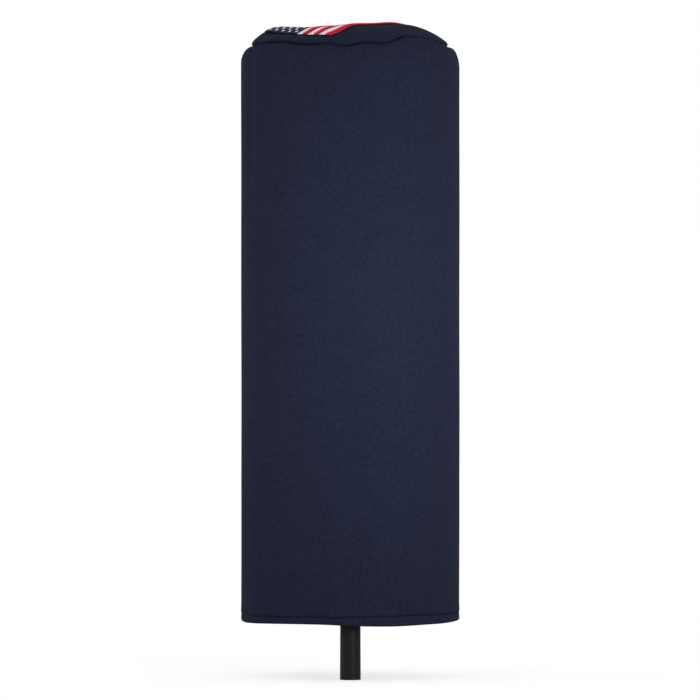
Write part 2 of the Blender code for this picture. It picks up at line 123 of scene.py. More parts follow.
# ---- the crown over the seam, along the flag's axes: where, how wide and how high in mm ----
FLAG_TURN = math.radians(42.6)
CROWN_BASE = 9.43 * MM
CROWN_BUMPS = (
    ((-40, -6), (4, 20), -2.7),
    ((-32, -26), (5, 4), -2.0),
    ((-33, 34), (11, 9), 2.6),
    ((-9, -36), (25, 5), 0.8),
    ((-1, -26), (13, 15), 1.3),
    ((10, -36), (8, 13), 1.75),
    ((-49, -15), (16, 5), -0.85),
    ((-18, 1), (7, 10), -0.7),
    ((26, 13), (14, 14), 0.6),
    ((-13, -8), (20, 22), 0.6),
    ((-21, -24), (6, 5), 0.8),
    ((39, -20), (8, 9), -1.6),
    ((18, -43), (8, 6), 0.5),
)
CROWN_FLATNESS = 4.6
# ---- the stitched line's height over that edge, and the waves added to it ----
STITCH_RISE = 4.1 * MM
STITCH_WAVES = ((-66, 17, 1.7), (-25, 16, 1.0), (-165, 12, 0.7))
HEM_HEIGHT = 7.0 * MM
HEM_DEPTH = 3.15 * MM
SHOULDER_DROP, SHOULDER_LEAN = 9.85 * MM, 1.85 * MM
LIP = 1.15 * MM
BACK_SEAM = math.radians(90)


# ---- numbers ----
def gauss(x, width):
    return np.exp(-0.5 * (x / width) ** 2)


def smooth(x):
    x = np.clip(x, 0.0, 1.0)
    return x * x * (3 - 2 * x)


def turn_degrees(angle):
    """Angles in degrees, brought to within half a turn of zero."""
    return (angle + 180) % 360 - 180


def bumps_round(theta, waves):
    """The sum of a table's bumps, each an (angle, width, height), at these angles."""
    angle = np.degrees(theta)
    return sum(height * gauss(turn_degrees(angle - at), width) for at, width, height in waves)


def around(count):
    """One row of this many angles, all the way round."""
    return np.linspace(-math.pi, math.pi, count, endpoint=False)[None, :]


def round_waves(theta, seed, lowest, highest, count=14):
    """A gentle random curve round the barrel, about 1 high at most."""
    rng = np.random.default_rng(seed)
    total = np.zeros_like(theta)
    for k in rng.integers(lowest, highest + 1, count):
        total = total + np.cos(k * theta + rng.uniform(0, TAU)) / math.sqrt(count)
    return total


def cloth_waves(theta, z, seed, count=16):
    """Gentle random undulations over the barrel, about 1 high at most."""
    rng = np.random.default_rng(seed)
    total = np.zeros(np.broadcast(theta, z).shape)
    for _ in range(count):
        turns, along = rng.integers(1, 8), rng.uniform(-1, 1) * TAU / (70 * MM)
        total = total + np.cos(turns * theta + along * z + rng.uniform(0, TAU)) / math.sqrt(count)
    return total


# ---- meshes ----
def linked(name, data):
    obj = bpy.data.objects.new(name, data)
    bpy.context.scene.collection.objects.link(obj)
    return obj


def make_object(mesh, material, body, replaced=()):
    """A piece of the model on this body, named after its mesh, with this material. Where given,
    replaced names the CAD solids that it takes the place of."""
    mesh.materials.append(material)
    obj = linked(mesh.name, mesh)
    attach(obj, body)
    if replaced:
        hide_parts(*replaced)


def settle(mesh, sharp=60):
    """Faces out, smooth shading, and hard edges where the surface turns sharply."""
    bm = bmesh.new()
    bm.from_mesh(mesh)
    bmesh.ops.recalc_face_normals(bm, faces=bm.faces)
    bm.to_mesh(mesh)
    bm.free()
    mesh.shade_smooth()
    mesh.set_sharp_from_angle(angle=math.radians(sharp))
    return mesh


def grid_mesh(name, points, cloth=None, wrap_rows=True, sharp=60):
    """A mesh from a grid of points whose columns wrap round. Its rows do too, or are capped at both
    ends. cloth holds the flat cloth's coordinates in metres, for one more column than points."""
    rows, columns = points.shape[:2]
    i = np.arange(rows if wrap_rows else rows - 1)[:, None]
    j = np.arange(columns)[None, :]
    i2, j2 = (i + 1) % rows, (j + 1) % columns
    quads = np.stack([i * columns + j, i * columns + j2, i2 * columns + j2, i2 * columns + j], -1)
    mesh = bpy.data.meshes.new(name)
    faces = quads.reshape(-1, 4).tolist()
    if not wrap_rows:
        faces.append(list(range(columns))[::-1])
        faces.append([(rows - 1) * columns + k for k in range(columns)])
    mesh.from_pydata(points.reshape(-1, 3).tolist(), [], faces)
    if cloth is not None:
        corners = [cloth[i, j], cloth[i, j + 1], cloth[i2, j + 1], cloth[i2, j]]
        flat = np.stack(corners, 2).reshape(-1, 2)
        values = np.zeros((len(mesh.loops), 3), np.float32)
        values[: len(flat), :2] = flat
        layer = mesh.attributes.new("cloth", "FLOAT_VECTOR", "CORNER")
        layer.data.foreach_set("vector", values.ravel())
    return settle(mesh, sharp)


def flat_cloth(u, v):
    """Flat coordinates from one row and one column."""
    return np.stack(np.broadcast_arrays(u, v), -1)


def rings(rows, theta):
    """Radii and heights at these angles, from (radius, height) pairs of numbers or of rows."""
    return [np.concatenate([row[k] + 0 * theta for row in rows]) for k in (0, 1)]


def sheet_mesh(name, front, back, u, v):
    """A thin sheet of cloth from its two faces. u and v are its flat coordinates."""
    sheet = np.concatenate([front, back[:, ::-1]], axis=1)
    cloth = flat_cloth(np.concatenate([u, u[:, ::-1], u[:, :1]], axis=1), v)
    return grid_mesh(name, sheet, cloth, wrap_rows=False)


def to_xyz(r, theta, z):
    r, theta, z = np.broadcast_arrays(r, theta, z)
    return np.stack([r * np.cos(theta), r * np.sin(theta), z], -1)


def tube(name, profile, columns=180, wobble=None, centre=(0, 0), sharp=60, solid=False):
    """An outline of (radius, height) points spun round an upright axis. It is closed into a ring, or
    capped at both ends if solid. wobble(theta, r, z) may give new r and z."""
    theta = around(columns)
    outline = np.array(profile, float)
    r, z = rings(outline, theta)
    steps = np.hypot(*(np.roll(outline, -1, 0) - outline).T)
    along = np.concatenate([[0], np.cumsum(steps)])
    width = np.abs(outline[:, 0]).max()
    cloth = flat_cloth(np.linspace(0, TAU * width, columns + 1)[None, :], along[:, None])
    if wobble:
        r, z = wobble(theta, r, z)
    points = to_xyz(r, theta, z) + np.array([*centre, 0.0])
    return grid_mesh(name, points, cloth, wrap_rows=not solid, sharp=sharp)


def line(start, end, steps):
    """Points from start up to, not including, end."""
    a, b = np.array(start, float), np.array(end, float)
    return [tuple(a + (b - a) * i / steps) for i in range(steps)]


def arc_points(centre, radius, start, end, steps):
    angles = np.radians(np.linspace(start, end, steps + 1))
    return [(centre[0] + radius * math.cos(a), centre[1] + radius * math.sin(a)) for a in angles]


def stacked_faces(levels, sides):
    """Faces of a stack of rings of points, closed at both ends."""
    faces = []
    for i in range(levels - 1):
        for j in range(sides):
            n = (j + 1) % sides
            faces.append((i * sides + j, i * sides + n, (i + 1) * sides + n, (i + 1) * sides + j))
    last = (levels - 1) * sides
    return faces + [tuple(range(sides))[::-1], tuple(range(last, last + sides))]


def joined(name, parts):
    """One mesh from a list of (vertices, faces)."""
    vertices, faces = [], []
    for part_vertices, part_faces in parts:
        base = len(vertices)
        vertices.extend(part_vertices)
        faces.extend([base + k for k in face] for face in part_faces)
    mesh = bpy.data.meshes.new(name)
    mesh.from_pydata([tuple(v) for v in vertices], [], faces)
    return settle(mesh)


# ---- materials ----
class Nodes:
    """A small builder for one node tree."""

    def __init__(self, tree):
        self.tree = tree

    def plug(self, value, socket):
        """Links an output to a socket, or sets a plain number there."""
        if isinstance(value, bpy.types.NodeSocket):
            self.tree.links.new(value, socket)
        else:
            socket.default_value = value

    def node(self, kind, inputs=(), output=0, **settings):
        """The output of a new node. inputs maps its sockets to outputs or plain numbers."""
        made = self.tree.nodes.new(kind)
        for key, value in settings.items():
            setattr(made, key, value)
        for socket, value in dict(inputs).items():
            self.plug(value, made.inputs[socket])
        return made.outputs[output]

    def math(self, operation, a, b=0.0):
        return self.node("ShaderNodeMath", {0: a, 1: b}, operation=operation)

    def sum(self, *parts):
        """The sum of some values, each given with its weight."""
        weighted = [self.math("MULTIPLY", value, weight) for value, weight in parts]
        total = weighted[0]
        for value in weighted[1:]:
            total = self.math("ADD", total, value)
        return total

    def place(self, source="object", scale=(1, 1, 1), angle=0.0):
        """Coordinates in metres: the object's, or a mesh attribute such as the flat cloth's."""
        if source == "object":
            start = self.node("ShaderNodeTexCoord", output="Object")
        else:
            start = self.node("ShaderNodeAttribute", output="Vector", attribute_name=source)
        return self.node("ShaderNodeMapping", {"Vector": start, "Rotation": (0, 0, angle), "Scale": scale})

    def noise(self, where, scale, detail=2.0, roughness=0.5):
        inputs = {"Vector": where, "Scale": scale, "Detail": detail, "Roughness": roughness}
        return self.node("ShaderNodeTexNoise", inputs, "Fac")

    def ribs(self, where, pitch, axis=0, distortion=0.0):
        """A sine of this pitch in metres along one axis, from 0 to 1."""
        along = self.node("ShaderNodeSeparateXYZ", {0: where}, axis)
        turns = self.math("MULTIPLY", along, TAU / pitch)
        wave = self.math("SINE", self.math("ADD", turns, distortion))
        return self.math("ADD", self.math("MULTIPLY", wave, 0.5), 0.5)

    def specks(self, where, scale, size, share=0.3):
        """Small round spots at random places, 1 inside and 0 outside."""
        distance = self.node("ShaderNodeTexVoronoi", {"Vector": where, "Scale": scale}, "Distance")
        near = self.math("LESS_THAN", distance, size)
        lot = self.node("ShaderNodeSeparateColor", {0: distance.node.outputs["Color"]})
        chosen = self.math("LESS_THAN", lot, share)
        return self.math("MULTIPLY", near, chosen)

    def mix(self, factor, low, high):
        """A colour between two colours."""
        low, high = ((*c, 1.0) if isinstance(c, tuple) else c for c in (low, high))
        return self.node("ShaderNodeMix", {"Factor": factor, 6: low, 7: high}, 2, data_type="RGBA")

    def spread(self, factor, low, high):
        """Maps 0..1 to low..high."""
        return self.node("ShaderNodeMapRange", {"Value": factor, "To Min": low, "To Max": high})

    def camera_only(self, seen, unseen):
        """A shader for camera rays and another for every other ray."""
        ray = self.node("ShaderNodeLightPath", output="Is Camera Ray")
        return self.node("ShaderNodeMixShader", {0: ray, 1: unseen, 2: seen})


class Shader(Nodes):
    """A procedural material."""

    def __init__(self, name, roughness=0.5, metallic=0.0):
        self.material = bpy.data.materials.new(name)
        self.material.use_nodes = True
        super().__init__(self.material.node_tree)
        self.shader = self.tree.nodes["Principled BSDF"]
        self.set("Roughness", roughness)
        self.set("Metallic", metallic)
        self.heights = None

    def set(self, socket, value):
        self.plug(value, self.shader.inputs[socket])

    def bump(self, height, depth):
        """Adds a bump of this depth in metres, on top of any before it."""
        before = {"Normal": self.heights} if self.heights is not None else {}
        inputs = {"Strength": 1.0, "Distance": depth, "Height": height, **before}
        self.heights = self.node("ShaderNodeBump", inputs)
        self.set("Normal", self.heights)

    def colour(self, value):
        self.set("Base Color", value)

    def polish(self, value, low, high):
        """A roughness between low and high."""
        self.set("Roughness", self.spread(value, low, high))

    def sheen(self, weight, roughness, tint):
        self.set("Sheen Weight", weight)
        self.set("Sheen Roughness", roughness)
        self.set("Sheen Tint", (*tint, 1.0))


TWILL_PITCH, TWILL_ANGLE = 1.16 * MM, math.radians(62)


def twill_material(name, dark, light, lint=(0.07, 0.08, 0.11)):
    """Twill: a fine diagonal rib, uneven yarns, slow mottling and a few specks of lint."""
    made = Shader(name, roughness=0.92)
    flat = made.place("cloth")
    across = made.place("cloth", angle=math.pi / 2 - TWILL_ANGLE)
    waver = made.math("MULTIPLY", made.noise(flat, 220, 2), 3.4)
    rib = made.ribs(across, TWILL_PITCH, 0, waver)
    yarn = made.noise(flat, 1100, 2, 0.6)
    slub = made.noise(flat, 420, 2, 0.6)
    mottle = made.noise(flat, 90, 3, 0.6)
    cloudy = made.noise(flat, 14, 2, 0.5)
    raised = made.spread(mottle, -0.25, 1.25)
    tone = 0.5
    shares = ((rib, raised, 0.4), (yarn, 1.0, 0.8), (slub, 1.0, 0.5), (mottle, 1.0, 0.2), (cloudy, 1.0, 0.1))
    for value, reach, share in shares:
        part = made.math("MULTIPLY", made.math("SUBTRACT", value, 0.5), share)
        tone = made.math("ADD", made.math("MULTIPLY", part, reach), tone)
    tone = made.math("MAXIMUM", tone, 0.0)
    cloth = made.mix(tone, dark, light)
    fluff = made.specks(flat, 260, 0.11, 0.04)
    made.colour(made.mix(made.math("MULTIPLY", fluff, 0.2), cloth, lint))
    made.bump(rib, 0.07 * MM)
    made.bump(yarn, 0.05 * MM)
    made.bump(mottle, 0.12 * MM)
    made.sheen(0.012, 0.45, (0.8, 0.82, 0.9))
    made.set("Specular IOR Level", 0.10)
    return made.material


def thread_material(name, dark, light, roughness=0.42, painted_glow=0.0):
    """Embroidery or sewing thread: satin, with each pass a little lighter or darker. The last argument
    adds a painted highlight: a glow in the thread's own colour, for the gleam that these soft lights don't
    bring out."""
    made = Shader(name, roughness)
    where = made.place("object")
    passes = made.noise(where, 900, 2)
    worn = made.noise(where, 160, 2)
    thread = made.mix(made.sum((passes, 0.7), (worn, 0.3)), dark, light)
    made.colour(thread)
    # painted highlight: the thread glows in its own colour, brighter than the lamps light it
    made.set("Emission Color", thread)
    made.set("Emission Strength", painted_glow)
    made.polish(passes, roughness - 0.08, roughness + 0.12)
    made.bump(made.noise(where, 2600, 2), 0.05 * MM)
    made.set("Specular IOR Level", 0.12)
    return made.material


def fleece_material(name, dark, light):
    """Short-pile fleece: pilled clumps over a fine nap."""
    made = Shader(name, roughness=0.95)
    where = made.place("object")
    nap = made.noise(where, 1400, 3, 0.7)
    clumps = made.noise(where, 260, 3, 0.6)
    made.colour(made.mix(made.sum((nap, 0.5), (clumps, 0.5)), dark, light))
    made.bump(clumps, 0.9 * MM)
    made.bump(nap, 0.35 * MM)
    made.sheen(0.5, 0.5, (0.75, 0.8, 1.0))
    return made.material


def batting_material():
    made = Shader("batting", roughness=0.98)
    where = made.place("object")
    fibre = made.noise(made.place("object", (1, 1, 4)), 500, 3, 0.7)
    lumps = made.noise(where, 70, 3)
    made.colour(made.mix(made.math("MULTIPLY", fibre, lumps), (0.60, 0.60, 0.56), (0.86, 0.86, 0.83)))
    made.bump(lumps, 1.5 * MM)
    made.bump(fibre, 0.4 * MM)
    return made.material


def ribbed_material(name, dark, light, pitch, axis, roughness=0.8):
    """Woven tape or elastic: ribs one way and fine yarns the other."""
    made = Shader(name, roughness)
    flat = made.place("cloth")
    rib = made.ribs(flat, pitch, axis)
    fine = made.ribs(flat, pitch * 0.45, 1 - axis)
    yarn = made.noise(flat, 1200, 2)
    tone = made.math("MULTIPLY", made.math("ADD", rib, fine), 0.35)
    tone = made.math("ADD", tone, made.math("MULTIPLY", yarn, 0.3))
    made.colour(made.mix(tone, dark, light))
    made.bump(rib, 0.18 * MM)
    made.bump(fine, 0.08 * MM)
    return made.material


def shaft_material():
    """Matte black coated carbon fibre, with faint streaks along it and a few handling marks."""
    made = Shader("shaft_paint", roughness=0.5)
    streaks = made.noise(made.place("object", (1, 1, 0.02)), 900, 3, 0.6)
    marks = made.specks(made.place("object", (1, 1, 0.35)), 260, 0.12, 0.12)
    base = made.mix(streaks, (0.0055, 0.0055, 0.0057), (0.0135, 0.0135, 0.0138))
    made.colour(made.mix(made.math("MULTIPLY", marks, 0.3), base, (0.06, 0.06, 0.06)))
    made.polish(streaks, 0.42, 0.60)
    made.bump(streaks, 0.05 * MM)
    made.set("Specular IOR Level", 0.3)
    made.set("Coat Weight", 0.08)
    made.set("Coat Roughness", 0.35)
    return made.material


def plastic_material():
    made = Shader("ferrule_gloss", roughness=0.16)
    where = made.place("object")
    smear = made.noise(where, 120, 3)
    rings = made.ribs(where, 0.5 * MM, 2)
    made.colour(made.mix(smear, (0.004, 0.004, 0.0045), (0.010, 0.010, 0.011)))
    made.polish(smear, 0.10, 0.26)
    made.bump(rings, 0.006 * MM)
    return made.material


def steel_material(name, stretch, base=(0.42, 0.42, 0.43), roughness=0.34):
    """Brushed steel, its grain stretched along one of the piece's own axes."""
    made = Shader(name, roughness, metallic=1.0)
    grain = made.noise(made.place("own_axes", stretch), 900, 4, 0.7)
    cloud = made.noise(made.place("own_axes"), 60, 3)
    tone = made.math("MULTIPLY", made.math("ADD", grain, cloud), 0.5)
    darker = tuple(0.72 * c for c in base)
    made.colour(made.mix(tone, darker, base))
    made.polish(tone, roughness - 0.08, roughness + 0.14)
    made.bump(grain, 0.03 * MM)
    return made.material


def gloss_paint_material():
    """Gloss black paint with a hint of fine flake, under a clear coat."""
    made = Shader("crown_paint", roughness=0.35)
    where = made.place("object")
    flake = made.noise(where, 5200, 1)
    dust = made.noise(where, 90, 3)
    made.colour(made.mix(flake, (0.003, 0.003, 0.0035), (0.012, 0.012, 0.014)))
    made.polish(dust, 0.25, 0.42)
    made.bump(dust, 0.01 * MM)
    made.set("Coat Weight", 1.0)
    made.set("Coat Roughness", 0.06)
    return made.material


# ---- the cover's outer cloth ----
def seam_lift(theta):
    """How far the crown seam rises or dips, in metres."""
    return (-0.1 + bumps_round(theta, SEAM_WAVES) + 0.12 * round_waves(theta, 5, 9, 21)) * MM


def seam_radius(theta):
    """The seam moves in a little where it climbs the crown, and at the right."""
    right = 0.6 * MM * gauss(np.degrees(theta), 18)
    return CROWN_R - 0.55 * np.maximum(seam_lift(theta), 0) - right + 0.12 * MM * round_waves(theta, 9, 7, 17)


def seam_openness(theta):
    """1 where the seam is a deep crease, and less where its two cloths lie flush."""
    flush = bumps_round(theta, FLUSH_PARTS)
    return np.clip(1 - 0.85 * flush + 0.12 * round_waves(theta, 3, 5, 15), 0.1, 1.3)


def puckers(theta):
    """Small gathers where the seam's stitches draw the cloth in, in metres."""
    strength = 0.11 + 0.07 * round_waves(theta, 21, 2, 7)
    return strength * MM * round_waves(theta, 13, 24, 62, 26)


def fold_height(theta, above):
    """The soft folds' height at an angle and a height above the seam."""
    total = np.zeros(np.broadcast(theta, above).shape)
    angle = np.degrees(theta)
    reach = BARREL_R * math.radians(1)
    for (start, start_z), (end, end_z), width, height in FOLDS:
        u, v = turn_degrees(angle - start) * reach, above - start_z * MM
        du, dv = turn_degrees(end - start) * reach, (end_z - start_z) * MM
        share = np.clip((u * du + v * dv) / (du * du + dv * dv), 0, 1)
        away = np.hypot(u - share * du, v - share * dv)
        fade = smooth(share * 5) * smooth((1 - share) * 2.2) + 0.25
        total = total + height * MM * gauss(away, width * MM) * np.minimum(fade, 1)
    return total


def hem_edge(theta):
    """The mouth's edge isn't quite level."""
    total = 0.15 + bumps_round(theta, HEM_WAVES)
    return MOUTH_Z + total * MM + 0.06 * MM * round_waves(theta, 31, 5, 14)


def stitch_path(theta):
    total = bumps_round(theta, STITCH_WAVES) + 0.1 * round_waves(theta, 33, 6, 18)
    return hem_edge(theta) + STITCH_RISE + total * MM


def barrel_swell(theta, z):
    """How far the twill stands out from a true cylinder."""
    above_hem = z - stitch_path(theta)
    swell = 0.06 * MM * cloth_waves(theta, z, 41)
    swell = swell + fold_height(theta, z - SEAM_Z)
    draw = round_waves(theta, 43, 30, 60, 20)
    swell = swell - 0.45 * MM * gauss(above_hem, 0.36 * MM)
    swell = swell + 0.07 * MM * gauss(above_hem - 1.9 * MM, 1.5 * MM) * (1 + 0.8 * draw)
    swell = swell + 0.06 * MM * gauss(above_hem + 2.0 * MM, 1.3 * MM)
    behind = (np.mod(theta - BACK_SEAM + math.pi, TAU) - math.pi) * BARREL_R
    ease = round_waves(z * 60 / MM / 1000, 45, 3, 9)
    swell = swell - 0.65 * MM * gauss(behind - 0.15 * MM * ease, 0.75 * MM)
    swell = swell + (0.22 + 0.1 * ease) * MM * gauss(np.abs(behind) - 2.6 * MM, 1.5 * MM)
    return swell


def barrel_angles():
    """Columns round the barrel, closer together at the back seam."""
    even = np.linspace(-math.pi, math.pi, 336, endpoint=False)
    near = BACK_SEAM + np.radians(np.linspace(-4, 4, 33))
    clear = even[np.abs(even - BACK_SEAM) > math.radians(4.3)]
    return np.sort(np.concatenate([clear, near]))[None, :]


def barrel_heights():
    """Shares of the straight wall's height, close together near the hem and the shoulder."""
    hem = np.linspace(0, 0.045, 30, endpoint=False)
    low = np.linspace(0.045, 0.15, 14, endpoint=False)
    wall = np.linspace(0.15, 0.86, 78, endpoint=False)
    return np.concatenate([hem, low, wall, np.linspace(0.86, 1, 26)])


def shoulder_drop(theta):
    """The shoulder starts lower on the right than on the left."""
    return SHOULDER_DROP + SHOULDER_LEAN * np.cos(theta)


def shoulder_row(theta, angle, inset):
    """One ring of the shoulder, from 0 degrees at the wall to 90 at the seam."""
    fullness = 1.83 + 0.08 * np.cos(theta)
    top = SEAM_Z + seam_lift(theta) - inset
    low = SEAM_Z - shoulder_drop(theta)
    inner = seam_radius(theta) + GAP + LIP + inset
    c, s = math.cos(angle), math.sin(angle)
    r = inner + (BARREL_R - inset - inner) * max(c, 0.0) ** (2 / fullness)
    z = low + (top - low) * max(s, 0.0) ** (2 / fullness)
    near = smooth((s - 0.35) / 0.6)
    gather = puckers(theta) * near * (1 - 0.6 * inset / TWILL)
    swell = barrel_swell(theta, z)
    return r + (swell * (1 - near * 0.4) + gather) * c, z + (swell + gather) * s * 0.8


def make_barrel():
    """The twill barrel: hem, wall, shoulder and the seam allowance turned down inside."""
    theta = barrel_angles()
    rows = []
    hem = hem_edge(theta)
    half = HEM_DEPTH / 2
    for a in np.radians(np.linspace(180, 360, 13)):
        rows.append((BARREL_R - half + half * np.cos(a), hem + half + half * 0.8 * np.sin(a)))
    wall_low, wall_high = hem + half, SEAM_Z - shoulder_drop(theta)
    for share in barrel_heights()[1:]:
        z = wall_low + (wall_high - wall_low) * share
        rows.append((BARREL_R + barrel_swell(theta, z), z))
    for a in np.radians(np.linspace(0, 90, 31))[1:]:
        rows.append(shoulder_row(theta, a, 0.0))
    r_top, z_top = rows[-1]
    r_seam = seam_radius(theta) + GAP
    open_share = seam_openness(theta)
    for a in np.radians(np.linspace(0, 90, 7))[1:]:
        share = math.sin(a)
        rows.append((r_top + (r_seam - r_top) * share, z_top - LIP * (1 - math.cos(a)) * open_share))
    rows.append((r_seam, (rows[-1][1] + CROWN_FOOT_Z) / 2))
    rows.append((CROWN_R + GAP, CROWN_FOOT_Z))
    rows.append((CROWN_R + GAP + TWILL, CROWN_FOOT_Z))
    for a in np.radians(np.linspace(90, 0, 13)):
        rows.append(shoulder_row(theta, a, TWILL))
    for share in np.linspace(0.97, 0.06, 44):
        z = wall_low + (wall_high - wall_low) * share
        rows.append((BARREL_R - TWILL + barrel_swell(theta, z), z))
    rows.append((BARREL_R - TWILL, hem + HEM_HEIGHT + 1.2 * MM))
    rows.append((BARREL_R - HEM_DEPTH + 0.2 * MM, hem + HEM_HEIGHT + 0.4 * MM))
    rows.append((BARREL_R - HEM_DEPTH, hem + HEM_HEIGHT * 0.6))
    r, z = rings(rows, theta)
    across = np.append(theta[0], theta[0, 0] + TAU) * BARREL_R
    travel = np.hypot(np.diff(r[:, :1], axis=0), np.diff(z[:, :1], axis=0))
    along = np.concatenate([[0], np.cumsum(travel), [travel.sum()]])
    cloth = flat_cloth(across[None, :], along[:, None])
    mesh = grid_mesh("barrel_twill", to_xyz(r, theta, z), cloth, sharp=75)
    make_object(mesh, NAVY, "cover", ["barrel_shell"])


def crown_rise(x, y):
    """The crown's height over the seam's plane: the club under it lifts the right of its front."""
    c, s = math.cos(FLAG_TURN), math.sin(FLAG_TURN)
    u, v = (x * c + y * s) / MM, (y * c - x * s) / MM
    rise = CROWN_BASE + 0 * x
    for (at_u, at_v), (wide_u, wide_v), height in CROWN_BUMPS:
        rise = rise + height * MM * gauss(u - at_u, wide_u) * gauss(v - at_v, wide_v)
    return rise


def crown_point(theta, tilt, inset=0.0):
    """A point of the crown at this edge tilt: 0 is its centre and 90 degrees the seam."""
    edge = seam_radius(theta) - inset
    share = np.sin(tilt) ** (2 / CROWN_FLATNESS)
    r = edge * share
    lift = seam_lift(theta)
    rise = crown_rise(r * np.cos(theta), r * np.sin(theta)) - inset
    z = SEAM_Z + lift * share**8 + (rise - 0.45 * lift * share**4) * np.cos(tilt)
    above = z - SEAM_Z
    rim = smooth((np.degrees(tilt) - 42) / 40)
    puff = 0.75 * MM * gauss(np.degrees(tilt) - 77, 8) * seam_openness(theta)
    swell = puff + rim * (0.9 * puckers(theta + 0.03) + fold_height(theta, above))
    swell = swell + 0.10 * MM * cloth_waves(theta, 3 * r, 51) * share**2
    swell = swell * (1 - smooth((np.degrees(tilt) - 84) / 6))
    sides = 1 - 0.6 * gauss(turn_degrees(np.degrees(theta) - 180), 16) - 0.3 * gauss(np.degrees(theta), 12)
    pinch = 1.1 * MM * gauss(np.degrees(tilt) - 88, 4) * seam_openness(theta) * sides
    return r + swell * np.sin(tilt) - pinch, z + swell * np.cos(tilt) * 0.7


def crown_height(x, y):
    """The crown's height over the frame's origin at a place, for what lies on it."""
    theta = np.arctan2(y, x)
    share = np.clip(np.hypot(x, y) / seam_radius(theta), 0, 0.995)
    return crown_point(theta, np.arcsin(share ** (CROWN_FLATNESS / 2)))[1]


def make_crown():
    theta = around(360)
    tilts = np.radians(np.concatenate([np.linspace(0.02, 40, 34), np.linspace(41, 90, 58)]))
    rows = [crown_point(theta, tilt) for tilt in tilts]
    r_edge, z_edge = rows[-1]
    rows += [(r_edge, z_edge - 1.2 * MM), (CROWN_R, CROWN_FOOT_Z), (CROWN_R - TWILL, CROWN_FOOT_Z)]
    for tilt in np.radians(np.concatenate([np.linspace(90, 45, 12), np.linspace(35, 0.05, 8)])):
        r = (CROWN_R - TWILL) * math.sin(tilt) ** (2 / CROWN_FLATNESS)
        rise = crown_rise(r * np.cos(theta), r * np.sin(theta)) - TWILL
        rows.append((r - 0.3 * MM, SEAM_Z + rise * math.cos(tilt) - 0.3 * MM))
    r, z = rings(rows, theta)
    points = to_xyz(r, theta, z)
    closed = np.concatenate([points, points[:, :1]], axis=1)
    mesh = grid_mesh("crown_twill", points, closed[:, :, :2], wrap_rows=False, sharp=75)
    make_object(mesh, NAVY, "cover", ["crown_panel"])


def make_hem_stitches():
    """Single stitches laid along the hem's groove."""
    count, length, thread = 118, 2.95 * MM, 0.30 * MM
    sides, slices = 8, 7
    parts = []
    for k in range(count):
        vertices = []
        for i in range(slices):
            share = 2 * i / (slices - 1) - 1
            angle = np.array([TAU * k / count + length / 2 / BARREL_R * share])
            z = float(stitch_path(angle)[0])
            dip = 0.42 * MM * share**4
            r = BARREL_R + float(barrel_swell(angle, z)[0]) + 0.12 * MM - dip
            size = thread * math.sqrt(max(0.05, 1 - share**6))
            for j in range(sides):
                a = TAU * j / sides
                out = r + size * math.cos(a)
                vertices.append((out * math.cos(angle[0]), out * math.sin(angle[0]), z + size * math.sin(a)))
        parts.append((vertices, stacked_faces(slices, sides)))
    mesh = joined("hem_stitches", parts)
    make_object(mesh, NAVY_THREAD, "cover", ["hem_topstitch"])


# ---- the flag patch ----
FLAG_LENGTH = 74.4 * MM
FLAG_WIDTH = 51.0 * MM
FLAG_BOW = 2.3 * MM
FLAG_CURL = 0.5 * MM
RED_RAISE = 0.64 * MM
WHITE_RAISE = 0.34 * MM
STRIPES = 13
STRIPE = FLAG_WIDTH / STRIPES
CANTON_STRIPES = 7
CANTON_LENGTH = FLAG_LENGTH * 0.4
BACKING_LIFT = 0.15 * MM
BACKING = 0.35 * MM
THREAD_PITCH = 0.42 * MM


def on_crown(u, v, lift):
    """Places on the crown from places on the flat flag: u towards the fly, v towards its top.
    The canton's corner curls up a little."""
    c, s = math.cos(FLAG_TURN), math.sin(FLAG_TURN)
    lift = lift + FLAG_CURL * gauss(u + FLAG_LENGTH / 2, 7 * MM) * gauss(v - FLAG_WIDTH / 2, 9 * MM)
    u = u * (1 + 2 * FLAG_BOW / FLAG_LENGTH * (1 - (2 * v / FLAG_WIDTH) ** 2))
    x, y = u * c - v * s, u * s + v * c
    z = crown_height(x, y)
    step = 0.5 * MM
    slope_x = (crown_height(x + step, y) - z) / step
    slope_y = (crown_height(x, y + step) - z) / step
    size = np.sqrt(1 + slope_x**2 + slope_y**2)
    return np.stack([x - lift * slope_x / size, y - lift * slope_y / size, z + lift / size], -1)


def flag_sheet(u_range, v_range, low, top, steps, round_off=0.5 * MM):
    """A padded sheet on the crown, its upper face given by top(u, v) and rounded at its edges."""
    u_steps, v_steps = steps
    u, v = np.meshgrid(np.linspace(*u_range, u_steps), np.linspace(*v_range, v_steps), indexing="ij")
    edge = np.minimum.reduce([u - u_range[0], u_range[1] - u, v - v_range[0], v_range[1] - v])
    rounding = np.sqrt(1 - (1 - np.clip(edge / round_off, 0, 1)) ** 2)
    upper = on_crown(u, v, low + 0.05 * MM + (top(u, v) - low - 0.05 * MM) * rounding)
    lower = on_crown(u, v, low + 0 * u)
    count = u_steps * v_steps
    vertices = np.concatenate([upper.reshape(-1, 3), lower.reshape(-1, 3)])
    i, j = np.meshgrid(np.arange(u_steps - 1), np.arange(v_steps - 1), indexing="ij")
    a = i * v_steps + j
    quads = np.stack([a, a + v_steps, a + v_steps + 1, a + 1], -1).reshape(-1, 4)
    faces = quads.tolist() + (quads[:, ::-1] + count).tolist()
    first, last = np.arange(v_steps), np.arange(v_steps) + (u_steps - 1) * v_steps
    near, far = np.arange(u_steps) * v_steps, np.arange(u_steps) * v_steps + v_steps - 1
    for rim in (first, last, near, far):
        faces.extend([a, b, b + count, a + count] for a, b in zip(rim.tolist(), rim.tolist()[1:]))
    return vertices.tolist(), faces


